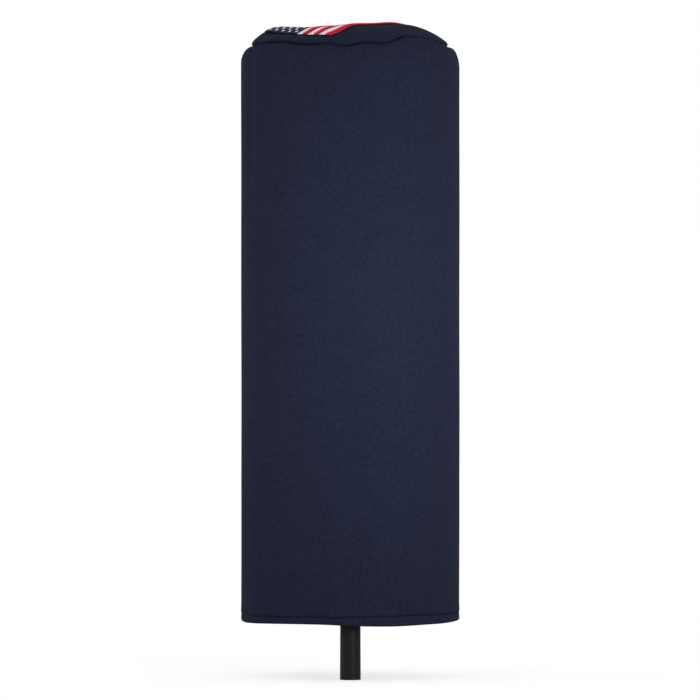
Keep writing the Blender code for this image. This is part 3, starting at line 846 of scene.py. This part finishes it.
def thread_top(low, height, rng):
    """Raised satin stitches: a round-topped pass of thread each pitch along the sheet."""
    lean = rng.uniform(-0.12, 0.12)
    phase = rng.uniform(0, TAU)

    def top(u, v):
        across = (u + lean * v) / THREAD_PITCH * TAU + phase
        uneven = 0.03 * MM * np.cos(u / (3.1 * MM) + phase) + 0.02 * MM * np.cos(across / 2.0)
        return low + height + 0.07 * MM * np.abs(np.cos(across / 2)) + uneven

    return top


def make_flag():
    half_u, half_v = FLAG_LENGTH / 2, FLAG_WIDTH / 2
    face, inset = BACKING_LIFT + BACKING, 0.15 * MM
    back_u, back_v = (inset - half_u, half_u - inset), (inset - half_v, half_v - inset)
    sheet = flag_sheet(back_u, back_v, BACKING_LIFT, lambda u, v: face + 0 * u, (140, 90))
    make_object(joined("flag_backing", [sheet]), BACKING_CLOTH, "cover", ["flag_patch_base"])

    low = face + 0.02 * MM
    canton_u = -half_u + CANTON_LENGTH
    canton_v = half_v - CANTON_STRIPES * STRIPE
    rng = np.random.default_rng(77)
    colours = {"red": [], "white": []}
    for k in range(STRIPES):
        v_high = half_v - k * STRIPE
        start = canton_u if k < CANTON_STRIPES else -half_u
        top = thread_top(low, WHITE_RAISE if k % 2 else RED_RAISE, rng)
        steps = (int((half_u - start) / THREAD_PITCH * 6), 8)
        v_range = (v_high - STRIPE + 0.05 * MM, v_high - 0.05 * MM)
        sheet = flag_sheet((start, half_u), v_range, low, top, steps, 0.7 * MM)
        colours["white" if k % 2 else "red"].append(sheet)
    red, white = (joined(f"flag_stripes_{name}", colours[name]) for name in ("red", "white"))
    make_object(red, RED_THREAD, "cover", ["flag_patch_face"])
    make_object(white, WHITE_THREAD, "cover")

    top = thread_top(low, 0.36 * MM, rng)
    sheet = flag_sheet((-half_u, canton_u), (canton_v, half_v), low, top, (400, 60), 0.6 * MM)
    make_object(joined("flag_canton", [sheet]), CANTON_THREAD, "cover")
    make_object(joined("flag_stars", star_parts(low, -half_u, half_v)), WHITE_THREAD, "cover")


def star_parts(low, left, high):
    """Rows of small padded five-pointed stars, six and five to a row by turns."""
    parts = []
    column, row = CANTON_LENGTH / 12, CANTON_STRIPES * STRIPE / 10
    base, peak = low + 0.34 * MM, low + 0.55 * MM
    a = np.arange(20) * TAU / 20
    reach = (0.46 + 0.58 * (0.5 + 0.5 * np.cos(5 * a)) ** 1.3) * MM
    star_u, star_v = reach * np.cos(a + math.pi / 2), reach * np.sin(a + math.pi / 2)
    for r in range(1, 10):
        for c in range(1, 12):
            if (r + c) % 2:
                continue
            u0, v0 = left + c * column, high - r * row
            levels = ((1.0, base), (1.0, peak - 0.1 * MM), (0.62, peak))
            places = [on_crown(u0 + star_u * size, v0 + star_v * size, lift) for size, lift in levels]
            parts.append((np.concatenate(places).tolist(), stacked_faces(len(levels), len(star_u))))
    return parts


# ---- the soft pieces inside ----
LINING_LOW, LINING_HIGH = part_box("barrel_lining")
LINING_R = 52.0 * MM
FLEECE = 2.0 * MM
NECK_LOW, NECK_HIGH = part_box("neck_elastic")
NECK_Z = (NECK_LOW.z + NECK_HIGH.z) / 2
NECK_Y = (NECK_LOW.y + NECK_HIGH.y) / 2
NECK_R = (NECK_HIGH.x - NECK_LOW.x) / 2 - 1.5 * MM
NECK_SLOPE = 54 * MM
PLEATS = 30


def lining_points(theta, r, z):
    """The lining's wall after the elastic draws it in: pleats deepen towards the neck."""
    share = 1 - smooth((np.abs(z - NECK_Z) - 7 * MM) / NECK_SLOPE)
    tight = 1 + share * (NECK_R / LINING_R - 1)
    lean = 0.5 * np.sin(theta * 3 + z * 40)
    pleat = np.abs(np.sin((theta + 0.02 * lean) * PLEATS / 2)) - 0.6
    slack = 0.35 * MM * round_waves(theta, 61, 3, 11) * (1 - 0.6 * share)
    drawn = r * tight + (1.9 * MM * pleat * share**1.4 + slack * smooth((z - MOUTH_Z) / (30 * MM)))
    x, y = drawn * np.cos(theta), drawn * np.sin(theta) + share * NECK_Y
    return np.stack(np.broadcast_arrays(x, y, z), -1)


def make_lining():
    """Fleece tube: flared to the hem, drawn in at the neck."""
    theta = around(300)
    low, high = LINING_LOW.z, LINING_HIGH.z
    heights = np.concatenate([np.linspace(low, low + 14 * MM, 10), np.linspace(low + 17 * MM, high, 96)])
    flare = 1.6 * MM * (1 - smooth((heights - low - 4 * MM) / (9 * MM)))
    outer = [(LINING_R + f, z) for f, z in zip(flare, heights)]
    inner = [(LINING_R - FLEECE + f, z) for f, z in zip(flare, heights)][::-1]
    r, z = rings(outer + inner, theta)
    mesh = grid_mesh("lining_fleece", lining_points(theta, r, z), sharp=70)
    make_object(mesh, FLEECE_CLOTH, "cover", ["barrel_lining"])

    theta = theta[:, ::2]
    heights = np.linspace(NECK_LOW.z, NECK_HIGH.z, 9)
    outline = [(LINING_R + 0.4 * MM, z) for z in heights] + [(LINING_R + 1.6 * MM, z) for z in heights[::-1]]
    r, z = rings(outline, theta)
    u = np.linspace(0, TAU * NECK_R, theta.shape[1] + 1)[None, :]
    v = np.append(z[:, 0], z[0, 0])[:, None]
    mesh = grid_mesh("neck_elastic_band", lining_points(theta, r, z), flat_cloth(u, v), sharp=70)
    make_object(mesh, ELASTIC, "cover", ["neck_elastic"])


def make_crown_lining():
    """The fleece disc that closes the lining, a little cushioned."""
    low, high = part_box("crown_lining")
    edge = high.x

    def wobble(theta, r, z):
        share = r / edge
        dip = 0.25 * MM * round_waves(theta, 71, 3, 12) * share
        return r, z + dip * np.where(z > (low.z + high.z) / 2, 0.3, 1.0)

    top = line((0.5 * MM, high.z - 0.2 * MM), (edge - 1 * MM, high.z - 0.2 * MM), 18)
    rim = arc_points((edge - 0.9 * MM, (low.z + high.z) / 2), 0.9 * MM, 80, -80, 8)
    under = line((edge - 1 * MM, low.z + 0.2 * MM), (0.5 * MM, low.z + 0.2 * MM), 18)
    mesh = tube("lining_crown", top + rim + under, 180, wobble, solid=True)
    make_object(mesh, FLEECE_CLOTH, "cover", ["crown_lining"])


def make_padding():
    """Batting in the wall and under the crown."""
    low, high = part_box("barrel_padding")
    outer, inner = high.x, high.x - 2.4 * MM

    def lumpy(theta, r, z):
        soft = cloth_waves(theta, z * 3, 81) * 0.3 * MM
        return np.where(r > (outer + inner) / 2, r - np.abs(soft), r + np.abs(soft) * 0.5), z

    profile = line((inner, low.z), (outer, low.z), 4) + line((outer, low.z), (outer, high.z), 60)
    profile += line((outer, high.z), (inner, high.z), 4) + line((inner, high.z), (inner, low.z), 60)
    mesh = tube("barrel_batting", profile, 180, lumpy)
    make_object(mesh, BATTING, "cover", ["barrel_padding"])

    low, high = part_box("crown_padding")
    edge = high.x
    theta = around(180)
    rows = []
    for tilt in np.radians(np.linspace(0.5, 90, 24)):
        r = edge * math.sin(tilt) ** (2 / CROWN_FLATNESS)
        rise = crown_rise(r * np.cos(theta), r * np.sin(theta)) - TWILL - 0.9 * MM
        lumps = np.abs(cloth_waves(theta, 4 * r, 83)) * 0.4 * MM
        rows.append((r - lumps, SEAM_Z + rise * math.cos(tilt) - lumps))
    rows += [(edge, (low.z + SEAM_Z) / 2), (edge - 0.4 * MM, low.z + (SEAM_Z - low.z) * 0.1)]
    rows += [(r, low.z) for r in (edge - 1.6 * MM, edge * 0.5, 1 * MM)]
    r, z = rings(rows, theta)
    mesh = grid_mesh("crown_batting", to_xyz(r, theta, z), wrap_rows=False)
    make_object(mesh, BATTING, "cover", ["crown_padding"])


def make_tapes():
    """Bias tape round the seam allowances, and the tape down the back seam."""
    low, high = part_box("seam_binding")
    outer = high.x
    inner = CROWN_R - TWILL - GAP - 0.6 * MM
    middle, half = (outer + inner) / 2, (outer - inner) / 2
    level, tape = low.z + 1.2 * MM, 0.6 * MM
    outside = arc_points((middle, level), half, 180, 360, 12)
    inside = arc_points((middle, level), half - tape, 360, 180, 12)
    squeeze = 1.2 * MM / half
    outside = [(r, level + (z - level) * squeeze) for r, z in outside]
    inside = [(r, level + (z - level) * squeeze * 0.6) for r, z in inside]
    outside += [(outer, high.z), (outer - tape, high.z)]
    inside += [(inner + tape, high.z), (inner, high.z)]
    mesh = tube("seam_bias_tape", outside + inside, 240)
    make_object(mesh, TAPE, "cover", ["seam_binding"])

    low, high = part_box("back_seam_tape")
    outer = high.y
    reach = (high.x - low.x) / 2 / outer
    u = np.linspace(-reach, reach, 17)[None, :]
    z = np.linspace(low.z, high.z, 150)[:, None]
    wave = 0.12 * MM * (1 + np.cos(z / (7 * MM)) * np.cos(u * 20))
    front = to_xyz(outer - wave, BACK_SEAM + u, z)
    back = to_xyz(outer - wave - 0.45 * MM, BACK_SEAM + u, z)
    mesh = sheet_mesh("back_seam_cover_tape", front, back, u * outer, z)
    make_object(mesh, TAPE, "cover", ["back_seam_tape"])


def make_label():
    """A plain folded label, sewn into the mouth and curling away from the fleece a little."""
    low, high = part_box("care_label")
    centre = (low + high) / 2
    angle = math.atan2(centre.y, centre.x)
    outer = LINING_R - FLEECE - 0.35 * MM
    reach = 11.6 * MM / outer
    u = np.linspace(-1, 1, 21)[None, :]
    share = np.linspace(0, 1, 33)[:, None]
    curl = 0.25 * MM * (1 - share) ** 2 * (1 + u * 0.6)
    z = low.z + (high.z - low.z) * share
    front = to_xyz(outer - 0.42 * MM + curl * 0.3, angle + u * reach, z)
    back = to_xyz(outer + curl * 0.3, angle + u * reach, z)
    mesh = sheet_mesh("inside_label", front, back, u * reach * outer, z)
    make_object(mesh, LABEL, "cover", ["care_label"])


# ---- the club ----
LIE = math.radians(58)
LOFT = math.radians(17)
HEAD_TURN = math.radians(25.3)
HEAD_GROUND_Z = SHAFT_HIGH.z + 22.5 * MM
HOSEL_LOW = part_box("head_body")[0].z
HOSEL_R = (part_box("ferrule")[1].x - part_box("ferrule")[0].x) / 2
CENTRE_T, CENTRE_F = 38.5 * MM, -12 * MM
HALF_LENGTH, HALF_BACK, HALF_FRONT = 46.5 * MM, 46 * MM, 34 * MM
SKIRT_U, CROWN_U = 14 * MM, 22 * MM
FACE_F, FACE_U = 14 * MM, 8 * MM
SOLE_FLAT = 0.7
RIM, LEDGE, SET_BACK_FROM = 0.78, 0.73, 0.84
SHELL_THICK, WALL = 1.4 * MM, 2.6 * MM
BORE_R, SCORE_R = 4.95 * MM, 0.42 * MM
EDGE_ROUND, HOSEL_DOME = 1.4 * MM, 6.5 * MM
PLATE_U, PLATE_HALF, PLATE_THICK = 15.5 * MM, (29 * MM, 10.5 * MM), 1.2 * MM
WEIGHT_AT, WEIGHT_R, WEIGHT_THICK = (38 * MM, -32 * MM), 7.5 * MM, 1.3 * MM


def head_frame():
    """The club head's own axes: heel to toe, back to face, sole to crown."""
    away = Vector((math.sin(HEAD_TURN), math.cos(HEAD_TURN), 0))
    face = Vector((math.cos(HEAD_TURN), -math.sin(HEAD_TURN), 0))
    up = Vector((0, 0, 1))
    toe = math.cos(LIE) * up + math.sin(LIE) * away
    crown = math.cos(LIE) * away - math.sin(LIE) * up
    turn = Matrix((toe, face, crown)).transposed().to_4x4()
    return Matrix.Translation((SHAFT_X, SHAFT_Y, HEAD_GROUND_Z)) @ turn


def face_at(u):
    return FACE_F - (u - FACE_U) * math.tan(LOFT)


def head_ring(share, u, inset=0.0, count=320):
    """One level of the head: an oval, cut by the face with a small round on the edge. The crown's
    inner levels are cut a little behind the face."""
    a = np.linspace(0, TAU, count, endpoint=False)
    c, s = np.cos(a), np.sin(a)
    t = CENTRE_T + (HALF_LENGTH * share - inset) * np.copysign(np.abs(c) ** 0.9, c)
    depth = np.where(s > 0, HALF_FRONT, HALF_BACK) * share - inset
    f = CENTRE_F + depth * np.copysign(np.abs(s) ** 0.9, s)
    crown_side = u > SKIRT_U + 0.3 * CROWN_U and share < SET_BACK_FROM
    set_back = min(5 * MM, (SET_BACK_FROM - share) * 40 * MM) if crown_side else 0.0
    face = face_at(u) - inset - set_back
    beyond = f - face
    cut = face + 0.5 * (beyond - np.sqrt(beyond**2 + EDGE_ROUND**2))
    return np.stack([t, cut, u + 0 * t], -1)


def sole_u(share):
    q = max(0.0, (share - SOLE_FLAT) / (1 - SOLE_FLAT))
    return SKIRT_U * (1 - math.sqrt(1 - q * q))


def crown_u(share):
    return SKIRT_U + CROWN_U * (1 - share**2.5) ** 0.8


def placed(mesh, matrix):
    """Moves a mesh, and keeps where its points lay on its own axes for the brushed grain."""
    own = np.empty(len(mesh.vertices) * 3, np.float32)
    mesh.vertices.foreach_get("co", own)
    mesh.attributes.new("own_axes", "FLOAT_VECTOR", "POINT").data.foreach_set("vector", own)
    mesh.transform(matrix)
    return mesh


def carve(mesh, cutters, operation="DIFFERENCE", sharp=35):
    """Applies Booleans with these closed meshes, so that only the finished mesh is left."""
    base = linked("base", mesh)
    tools = [linked("tool", cutter) for cutter in cutters]
    for tool in tools:
        modifier = base.modifiers.new("carve", "BOOLEAN")
        modifier.operation, modifier.object, modifier.solver = operation, tool, "MANIFOLD"
    bpy.context.view_layer.update()
    carved = bpy.data.meshes.new_from_object(base.evaluated_get(bpy.context.evaluated_depsgraph_get()))
    name, mesh.name = mesh.name, "uncarved"
    carved.name = name
    for obj in (base, *tools):
        bpy.data.objects.remove(obj)
    return settle(carved, sharp)


def disc(name, radii, profile, count=96):
    """A turned plate from (share of radius, height) points, stretched into an oval."""
    a = np.linspace(0, TAU, count, endpoint=False)[None, :]
    share, z = rings(profile, a)
    points = np.stack([share * radii[0] * np.cos(a), share * radii[1] * np.sin(a), z], -1)
    return grid_mesh(name, points, wrap_rows=False, sharp=35)


def flat_disc(name, radii, half, count=96):
    return disc(name, radii, [(0.02, -half), (1, -half), (1, half), (0.02, half)], count)


def make_head_body():
    """The hollow steel body with its ledge, hosel, bore, and the seats for its plate and weight."""
    seat = SHELL_THICK + GAP
    shares = [0.03, 0.4, SOLE_FLAT, 0.74, 0.78, 0.82, 0.86, 0.89, 0.92, 0.945, 0.965, 0.98, 0.99, 0.997, 1.0]
    rings = [head_ring(s, sole_u(s)) for s in shares]
    rings += [head_ring(s, crown_u(s)) for s in (0.997, 0.985, 0.965, 0.94, 0.91, 0.88, 0.85, 0.81, RIM)]
    rings += [head_ring(s, crown_u(s) - seat) for s in (RIM, LEDGE)]
    rings.append(head_ring(LEDGE, crown_u(LEDGE) - seat - 1.2 * MM))
    rings.append(head_ring(0.9, crown_u(0.9) - WALL, WALL * 0.6))
    rings.append(head_ring(0.985, sole_u(0.985) + WALL * 0.6, WALL))
    rings += [head_ring(s, sole_u(s) + WALL, WALL) for s in (0.9, SOLE_FLAT, 0.08)]
    shell = placed(grid_mesh("head_shell", np.stack(rings), wrap_rows=False, sharp=35), head_frame())

    centre = (SHAFT_X, SHAFT_Y)
    hosel_top = HEAD_GROUND_Z - 7 * MM
    bevel = 0.5 * MM
    outline = [(0.4 * MM, HOSEL_LOW), (HOSEL_R - bevel, HOSEL_LOW), (HOSEL_R, HOSEL_LOW + bevel)]
    outline.append((HOSEL_R, HEAD_GROUND_Z - 30 * MM))
    for a in np.radians(np.linspace(0, 86, 12)):
        outline.append(((HOSEL_R + 0.8 * MM) * math.cos(a), hosel_top - HOSEL_DOME * (1 - math.sin(a))))
    shell = carve(shell, [tube("hosel", outline, 96, centre=centre, solid=True)], "UNION")
    low, tip = HOSEL_LOW - 5 * MM, SHAFT_HIGH.z + GAP
    bore = [(0.2 * MM, low), (BORE_R, low), (BORE_R, tip), (0.2 * MM, tip)]
    pocket = flat_disc("pocket", [h + GAP for h in PLATE_HALF], PLATE_THICK + GAP)
    pocket.transform(head_frame() @ face_matrix(0))
    well = flat_disc("well", [WEIGHT_R + GAP] * 2, WEIGHT_THICK + GAP)
    well.transform(head_frame() @ Matrix.Translation((*WEIGHT_AT, 0)))
    shell = carve(shell, [tube("bore", bore, 96, centre=centre, solid=True), pocket, well])
    make_object(shell, STEEL, "club", ["head_body"])


def face_matrix(depth):
    """The face plate's place in the head, this deep under the face."""
    normal = Vector((0, math.cos(LOFT), math.sin(LOFT)))
    across = Vector((1, 0, 0))
    turn = Matrix((across, normal.cross(across), normal)).transposed().to_4x4()
    point = Vector((CENTRE_T, face_at(PLATE_U), PLATE_U))
    return Matrix.Translation(point - normal * depth) @ turn


def make_head_crown():
    """The thin shell that closes the head."""
    shares = np.linspace(0.02, RIM - 0.008, 22)
    rings = [head_ring(s, crown_u(s)) for s in shares]
    rings += [head_ring(s, crown_u(s) - SHELL_THICK, SHELL_THICK * min(1, 20 * s)) for s in shares[::-3]]
    mesh = grid_mesh("head_crown_shell", np.stack(rings), wrap_rows=False, sharp=35)
    mesh.transform(head_frame())
    make_object(mesh, CROWN_PAINT, "club", ["head_crown"])


def make_face_insert():
    """The face plate, with five scored lines."""
    half = PLATE_THICK / 2
    place = head_frame() @ face_matrix(half)
    edge = [(0.02, -half), (0.996, -half), (1, -half * 0.6), (1, half * 0.5), (0.99, half), (0.02, half)]
    plate = placed(disc("face_insert", PLATE_HALF, edge, 160), place)
    scores = []
    for k in range(-2, 3):
        reach = (23 if abs(k) < 2 else 17) * MM
        low_half = [(0.1 * MM, -reach), (SCORE_R, 0.5 * MM - reach)]
        score = tube("score", low_half + [(r, -z) for r, z in low_half[::-1]], 12, solid=True)
        shift = Matrix.Translation((0, k * 3.6 * MM, half))
        score.transform(place @ shift @ Matrix.Rotation(math.pi / 2, 4, "Y"))
        scores.append(score)
    mesh = carve(plate, scores, sharp=30)
    make_object(mesh, FACE_STEEL, "club", ["face_plate"])


def make_sole_weight():
    """The screwed weight in the sole, with its hexagon socket."""
    half = WEIGHT_THICK / 2
    place = head_frame() @ Matrix.Translation((*WEIGHT_AT, half))
    rim = [(0.02, -half), (0.93, -half), (1, -half + 0.4 * MM), (1, half), (0.02, half)]
    weight = placed(disc("sole_weight_screw", [WEIGHT_R] * 2, rim, 96), place)
    key = flat_disc("key", [2.4 * MM] * 2, WEIGHT_THICK / 2, 6)
    key.transform(place @ Matrix.Translation((0, 0, -half)))
    mesh = carve(weight, [key], sharp=30)
    make_object(mesh, TURNED_STEEL, "club", ["sole_weight"])


def make_shaft():
    tip_r, bevel, wall = 4.5 * MM, 0.15 * MM, 1.3 * MM
    low, tip = SHAFT_LOW.z, SHAFT_HIGH.z
    profile = [(SHAFT_R - wall, low + bevel), (SHAFT_R - wall + bevel, low), (SHAFT_R - bevel, low)]
    profile += line((SHAFT_R, low + bevel), (tip_r, tip), 24)
    profile += [(tip_r, tip), (tip_r - wall, tip)]
    mesh = tube("shaft_tube", profile, 96, centre=(SHAFT_X, SHAFT_Y), sharp=40)
    make_object(mesh, SHAFT_PAINT, "club", ["shaft"])

    low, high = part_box("ferrule")
    bore, start = 5.0 * MM, low.z + 0.4 * MM
    outline = [(bore, low.z), (bore + 0.45 * MM, low.z), (bore + 0.6 * MM, start)]
    for s in np.linspace(0.05, 1, 16):
        outline.append((bore + 0.6 * MM + 0.95 * MM * s**0.8, start + 15.4 * MM * s))
    waist = HOSEL_R - 0.45 * MM
    beads = ((waist, 3.6), (HOSEL_R, 3.0), (HOSEL_R, 2.2), (waist, 1.7), (waist, 1.3), (HOSEL_R, 0.8))
    outline += [(r, high.z - down * MM) for r, down in (*beads, (HOSEL_R, 0), (bore, 0))]
    mesh = tube("ferrule_collar", outline, 96, centre=(SHAFT_X, SHAFT_Y), sharp=30)
    make_object(mesh, FERRULE_PLASTIC, "club", ["ferrule"])


# ---- the studio ----
CAMERA_AWAY, CAMERA_Z = 4.32, 0.233
VIEW_WIDTH, VIEW_CENTRE = 0.3665, Vector((-0.00018, 0, 0.17075))
SKY_HORIZON, SKY_ZENITH = 0.62, 0.30
FLOOR_GLOW = 0.69
FLOOR_HALF = 400
LIGHT_AWAY, LIGHT_Z, LIGHT_SIZE, LIGHT_SPREAD = 0.75, 0.20, (0.22, 0.14), math.radians(40)


def make_camera():
    camera = bpy.data.cameras.new("camera")
    camera.sensor_width = 36
    obj = linked("camera", camera)
    obj.location = (VIEW_CENTRE.x, -CAMERA_AWAY, CAMERA_Z)
    gaze = VIEW_CENTRE - obj.location
    obj.rotation_euler = gaze.to_track_quat("-Z", "Y").to_euler()
    camera.lens = camera.sensor_width * gaze.length / VIEW_WIDTH
    camera.clip_end = 1000
    bpy.context.scene.camera = obj


def area_light(name, azimuth, power):
    """A soft box at this azimuth, in degrees to the right of the camera's side."""
    light = bpy.data.lights.new(name, "AREA")
    light.shape, light.energy, light.spread = "RECTANGLE", power, LIGHT_SPREAD
    light.size, light.size_y = LIGHT_SIZE
    obj = linked(name, light)
    a = math.radians(azimuth)
    out = Vector((math.sin(a), -math.cos(a), 0))
    obj.location = out * LIGHT_AWAY + Vector((0, 0, LIGHT_Z))
    obj.rotation_euler = (-out).to_track_quat("-Z", "Y").to_euler()
    obj.visible_camera = False


def make_sky():
    """White behind the object. Its light is strongest at the horizon and weaker from above."""
    world = bpy.data.worlds.new("studio_world")
    world.use_nodes = True
    sky = Nodes(world.node_tree)
    up = sky.node("ShaderNodeSeparateXYZ", {0: sky.node("ShaderNodeTexCoord", output="Generated")}, "Z")
    light = sky.tree.nodes["Background"]
    sky.plug(sky.spread(up, SKY_HORIZON, SKY_ZENITH), light.inputs["Strength"])
    sky.plug((1, 1, 1, 1), light.inputs["Color"])
    white = sky.node("ShaderNodeBackground", {"Color": (1, 1, 1, 1)})
    shader = sky.camera_only(white, light.outputs[0])
    sky.plug(shader, sky.tree.nodes["World Output"].inputs["Surface"])
    bpy.context.scene.world = world


def floor_material():
    """Matte white, with a little glow for the camera alone, so that it meets the white behind it."""
    made = Shader("studio_floor", roughness=1.0)
    made.set("Specular IOR Level", 0.0)
    tone = made.noise(made.place("object"), 1.5, 3)
    made.colour(made.mix(tone, (0.79, 0.79, 0.79), (0.81, 0.81, 0.81)))
    glow = made.node("ShaderNodeEmission", {"Strength": FLOOR_GLOW})
    both = made.node("ShaderNodeAddShader", {0: made.shader.outputs[0], 1: glow})
    shader = made.camera_only(both, made.shader.outputs[0])
    made.plug(shader, made.tree.nodes["Material Output"].inputs["Surface"])
    return made.material


def make_studio():
    mesh = bpy.data.meshes.new("studio_floor")
    bm = bmesh.new()
    bmesh.ops.create_grid(bm, x_segments=8, y_segments=8, size=FLOOR_HALF)
    bm.to_mesh(mesh)
    bm.free()
    mesh.materials.append(floor_material())
    floor = linked("studio_floor", mesh)
    floor.location.z = cad_box[0].z - 0.2 * MM
    make_sky()
    area_light("key", 27, 0.155)
    area_light("side", -85, 0.055)
    bpy.context.scene.view_settings.view_transform = "Standard"


# ---- the materials used ----
NAVY = twill_material("navy_twill_cloth", (0.0060, 0.0078, 0.0200), (0.0360, 0.0430, 0.0930))
BACKING_CLOTH = twill_material("patch_backing_cloth", (0.008, 0.009, 0.018), (0.020, 0.022, 0.042))
NAVY_THREAD = thread_material("navy_thread", (0.003, 0.0035, 0.008), (0.009, 0.010, 0.020), 0.7)
# The red and white threads glow a little: a painted highlight, not lamp light.
RED_THREAD = thread_material("red_thread", (0.36, 0.007, 0.020), (0.72, 0.018, 0.046), painted_glow=0.28)
WHITE_THREAD = thread_material("white_thread", (0.64, 0.61, 0.68), (0.93, 0.88, 0.95), painted_glow=0.38)
CANTON_THREAD = thread_material("canton_thread", (0.004, 0.009, 0.038), (0.010, 0.022, 0.092))
FLEECE_CLOTH = fleece_material("lining_fleece_cloth", (0.010, 0.012, 0.024), (0.045, 0.050, 0.095))
BATTING = batting_material()
ELASTIC = ribbed_material("elastic_weave", (0.010, 0.010, 0.010), (0.05, 0.05, 0.05), 1.1 * MM, 1)
TAPE = ribbed_material("bias_tape_weave", (0.008, 0.009, 0.018), (0.035, 0.038, 0.07), 0.6 * MM, 0)
LABEL = ribbed_material("label_satin", (0.55, 0.55, 0.53), (0.85, 0.85, 0.83), 0.5 * MM, 1, 0.45)
SHAFT_PAINT = shaft_material()
FERRULE_PLASTIC = plastic_material()
STEEL = steel_material("head_brushed_steel", (0.08, 1, 1), (0.30, 0.30, 0.31), 0.36)
FACE_STEEL = steel_material("face_brushed_steel", (1, 0.06, 1), (0.50, 0.50, 0.51), 0.30)
TURNED_STEEL = steel_material("turned_steel", (1, 1, 1), (0.58, 0.58, 0.58), 0.25)
CROWN_PAINT = gloss_paint_material()

# ---- the scene ----
make_barrel()
make_crown()
make_hem_stitches()
make_flag()
make_lining()
make_crown_lining()
make_padding()
make_tapes()
make_label()
make_shaft()
make_head_body()
make_head_crown()
make_face_insert()
make_sole_weight()
make_studio()
make_camera()
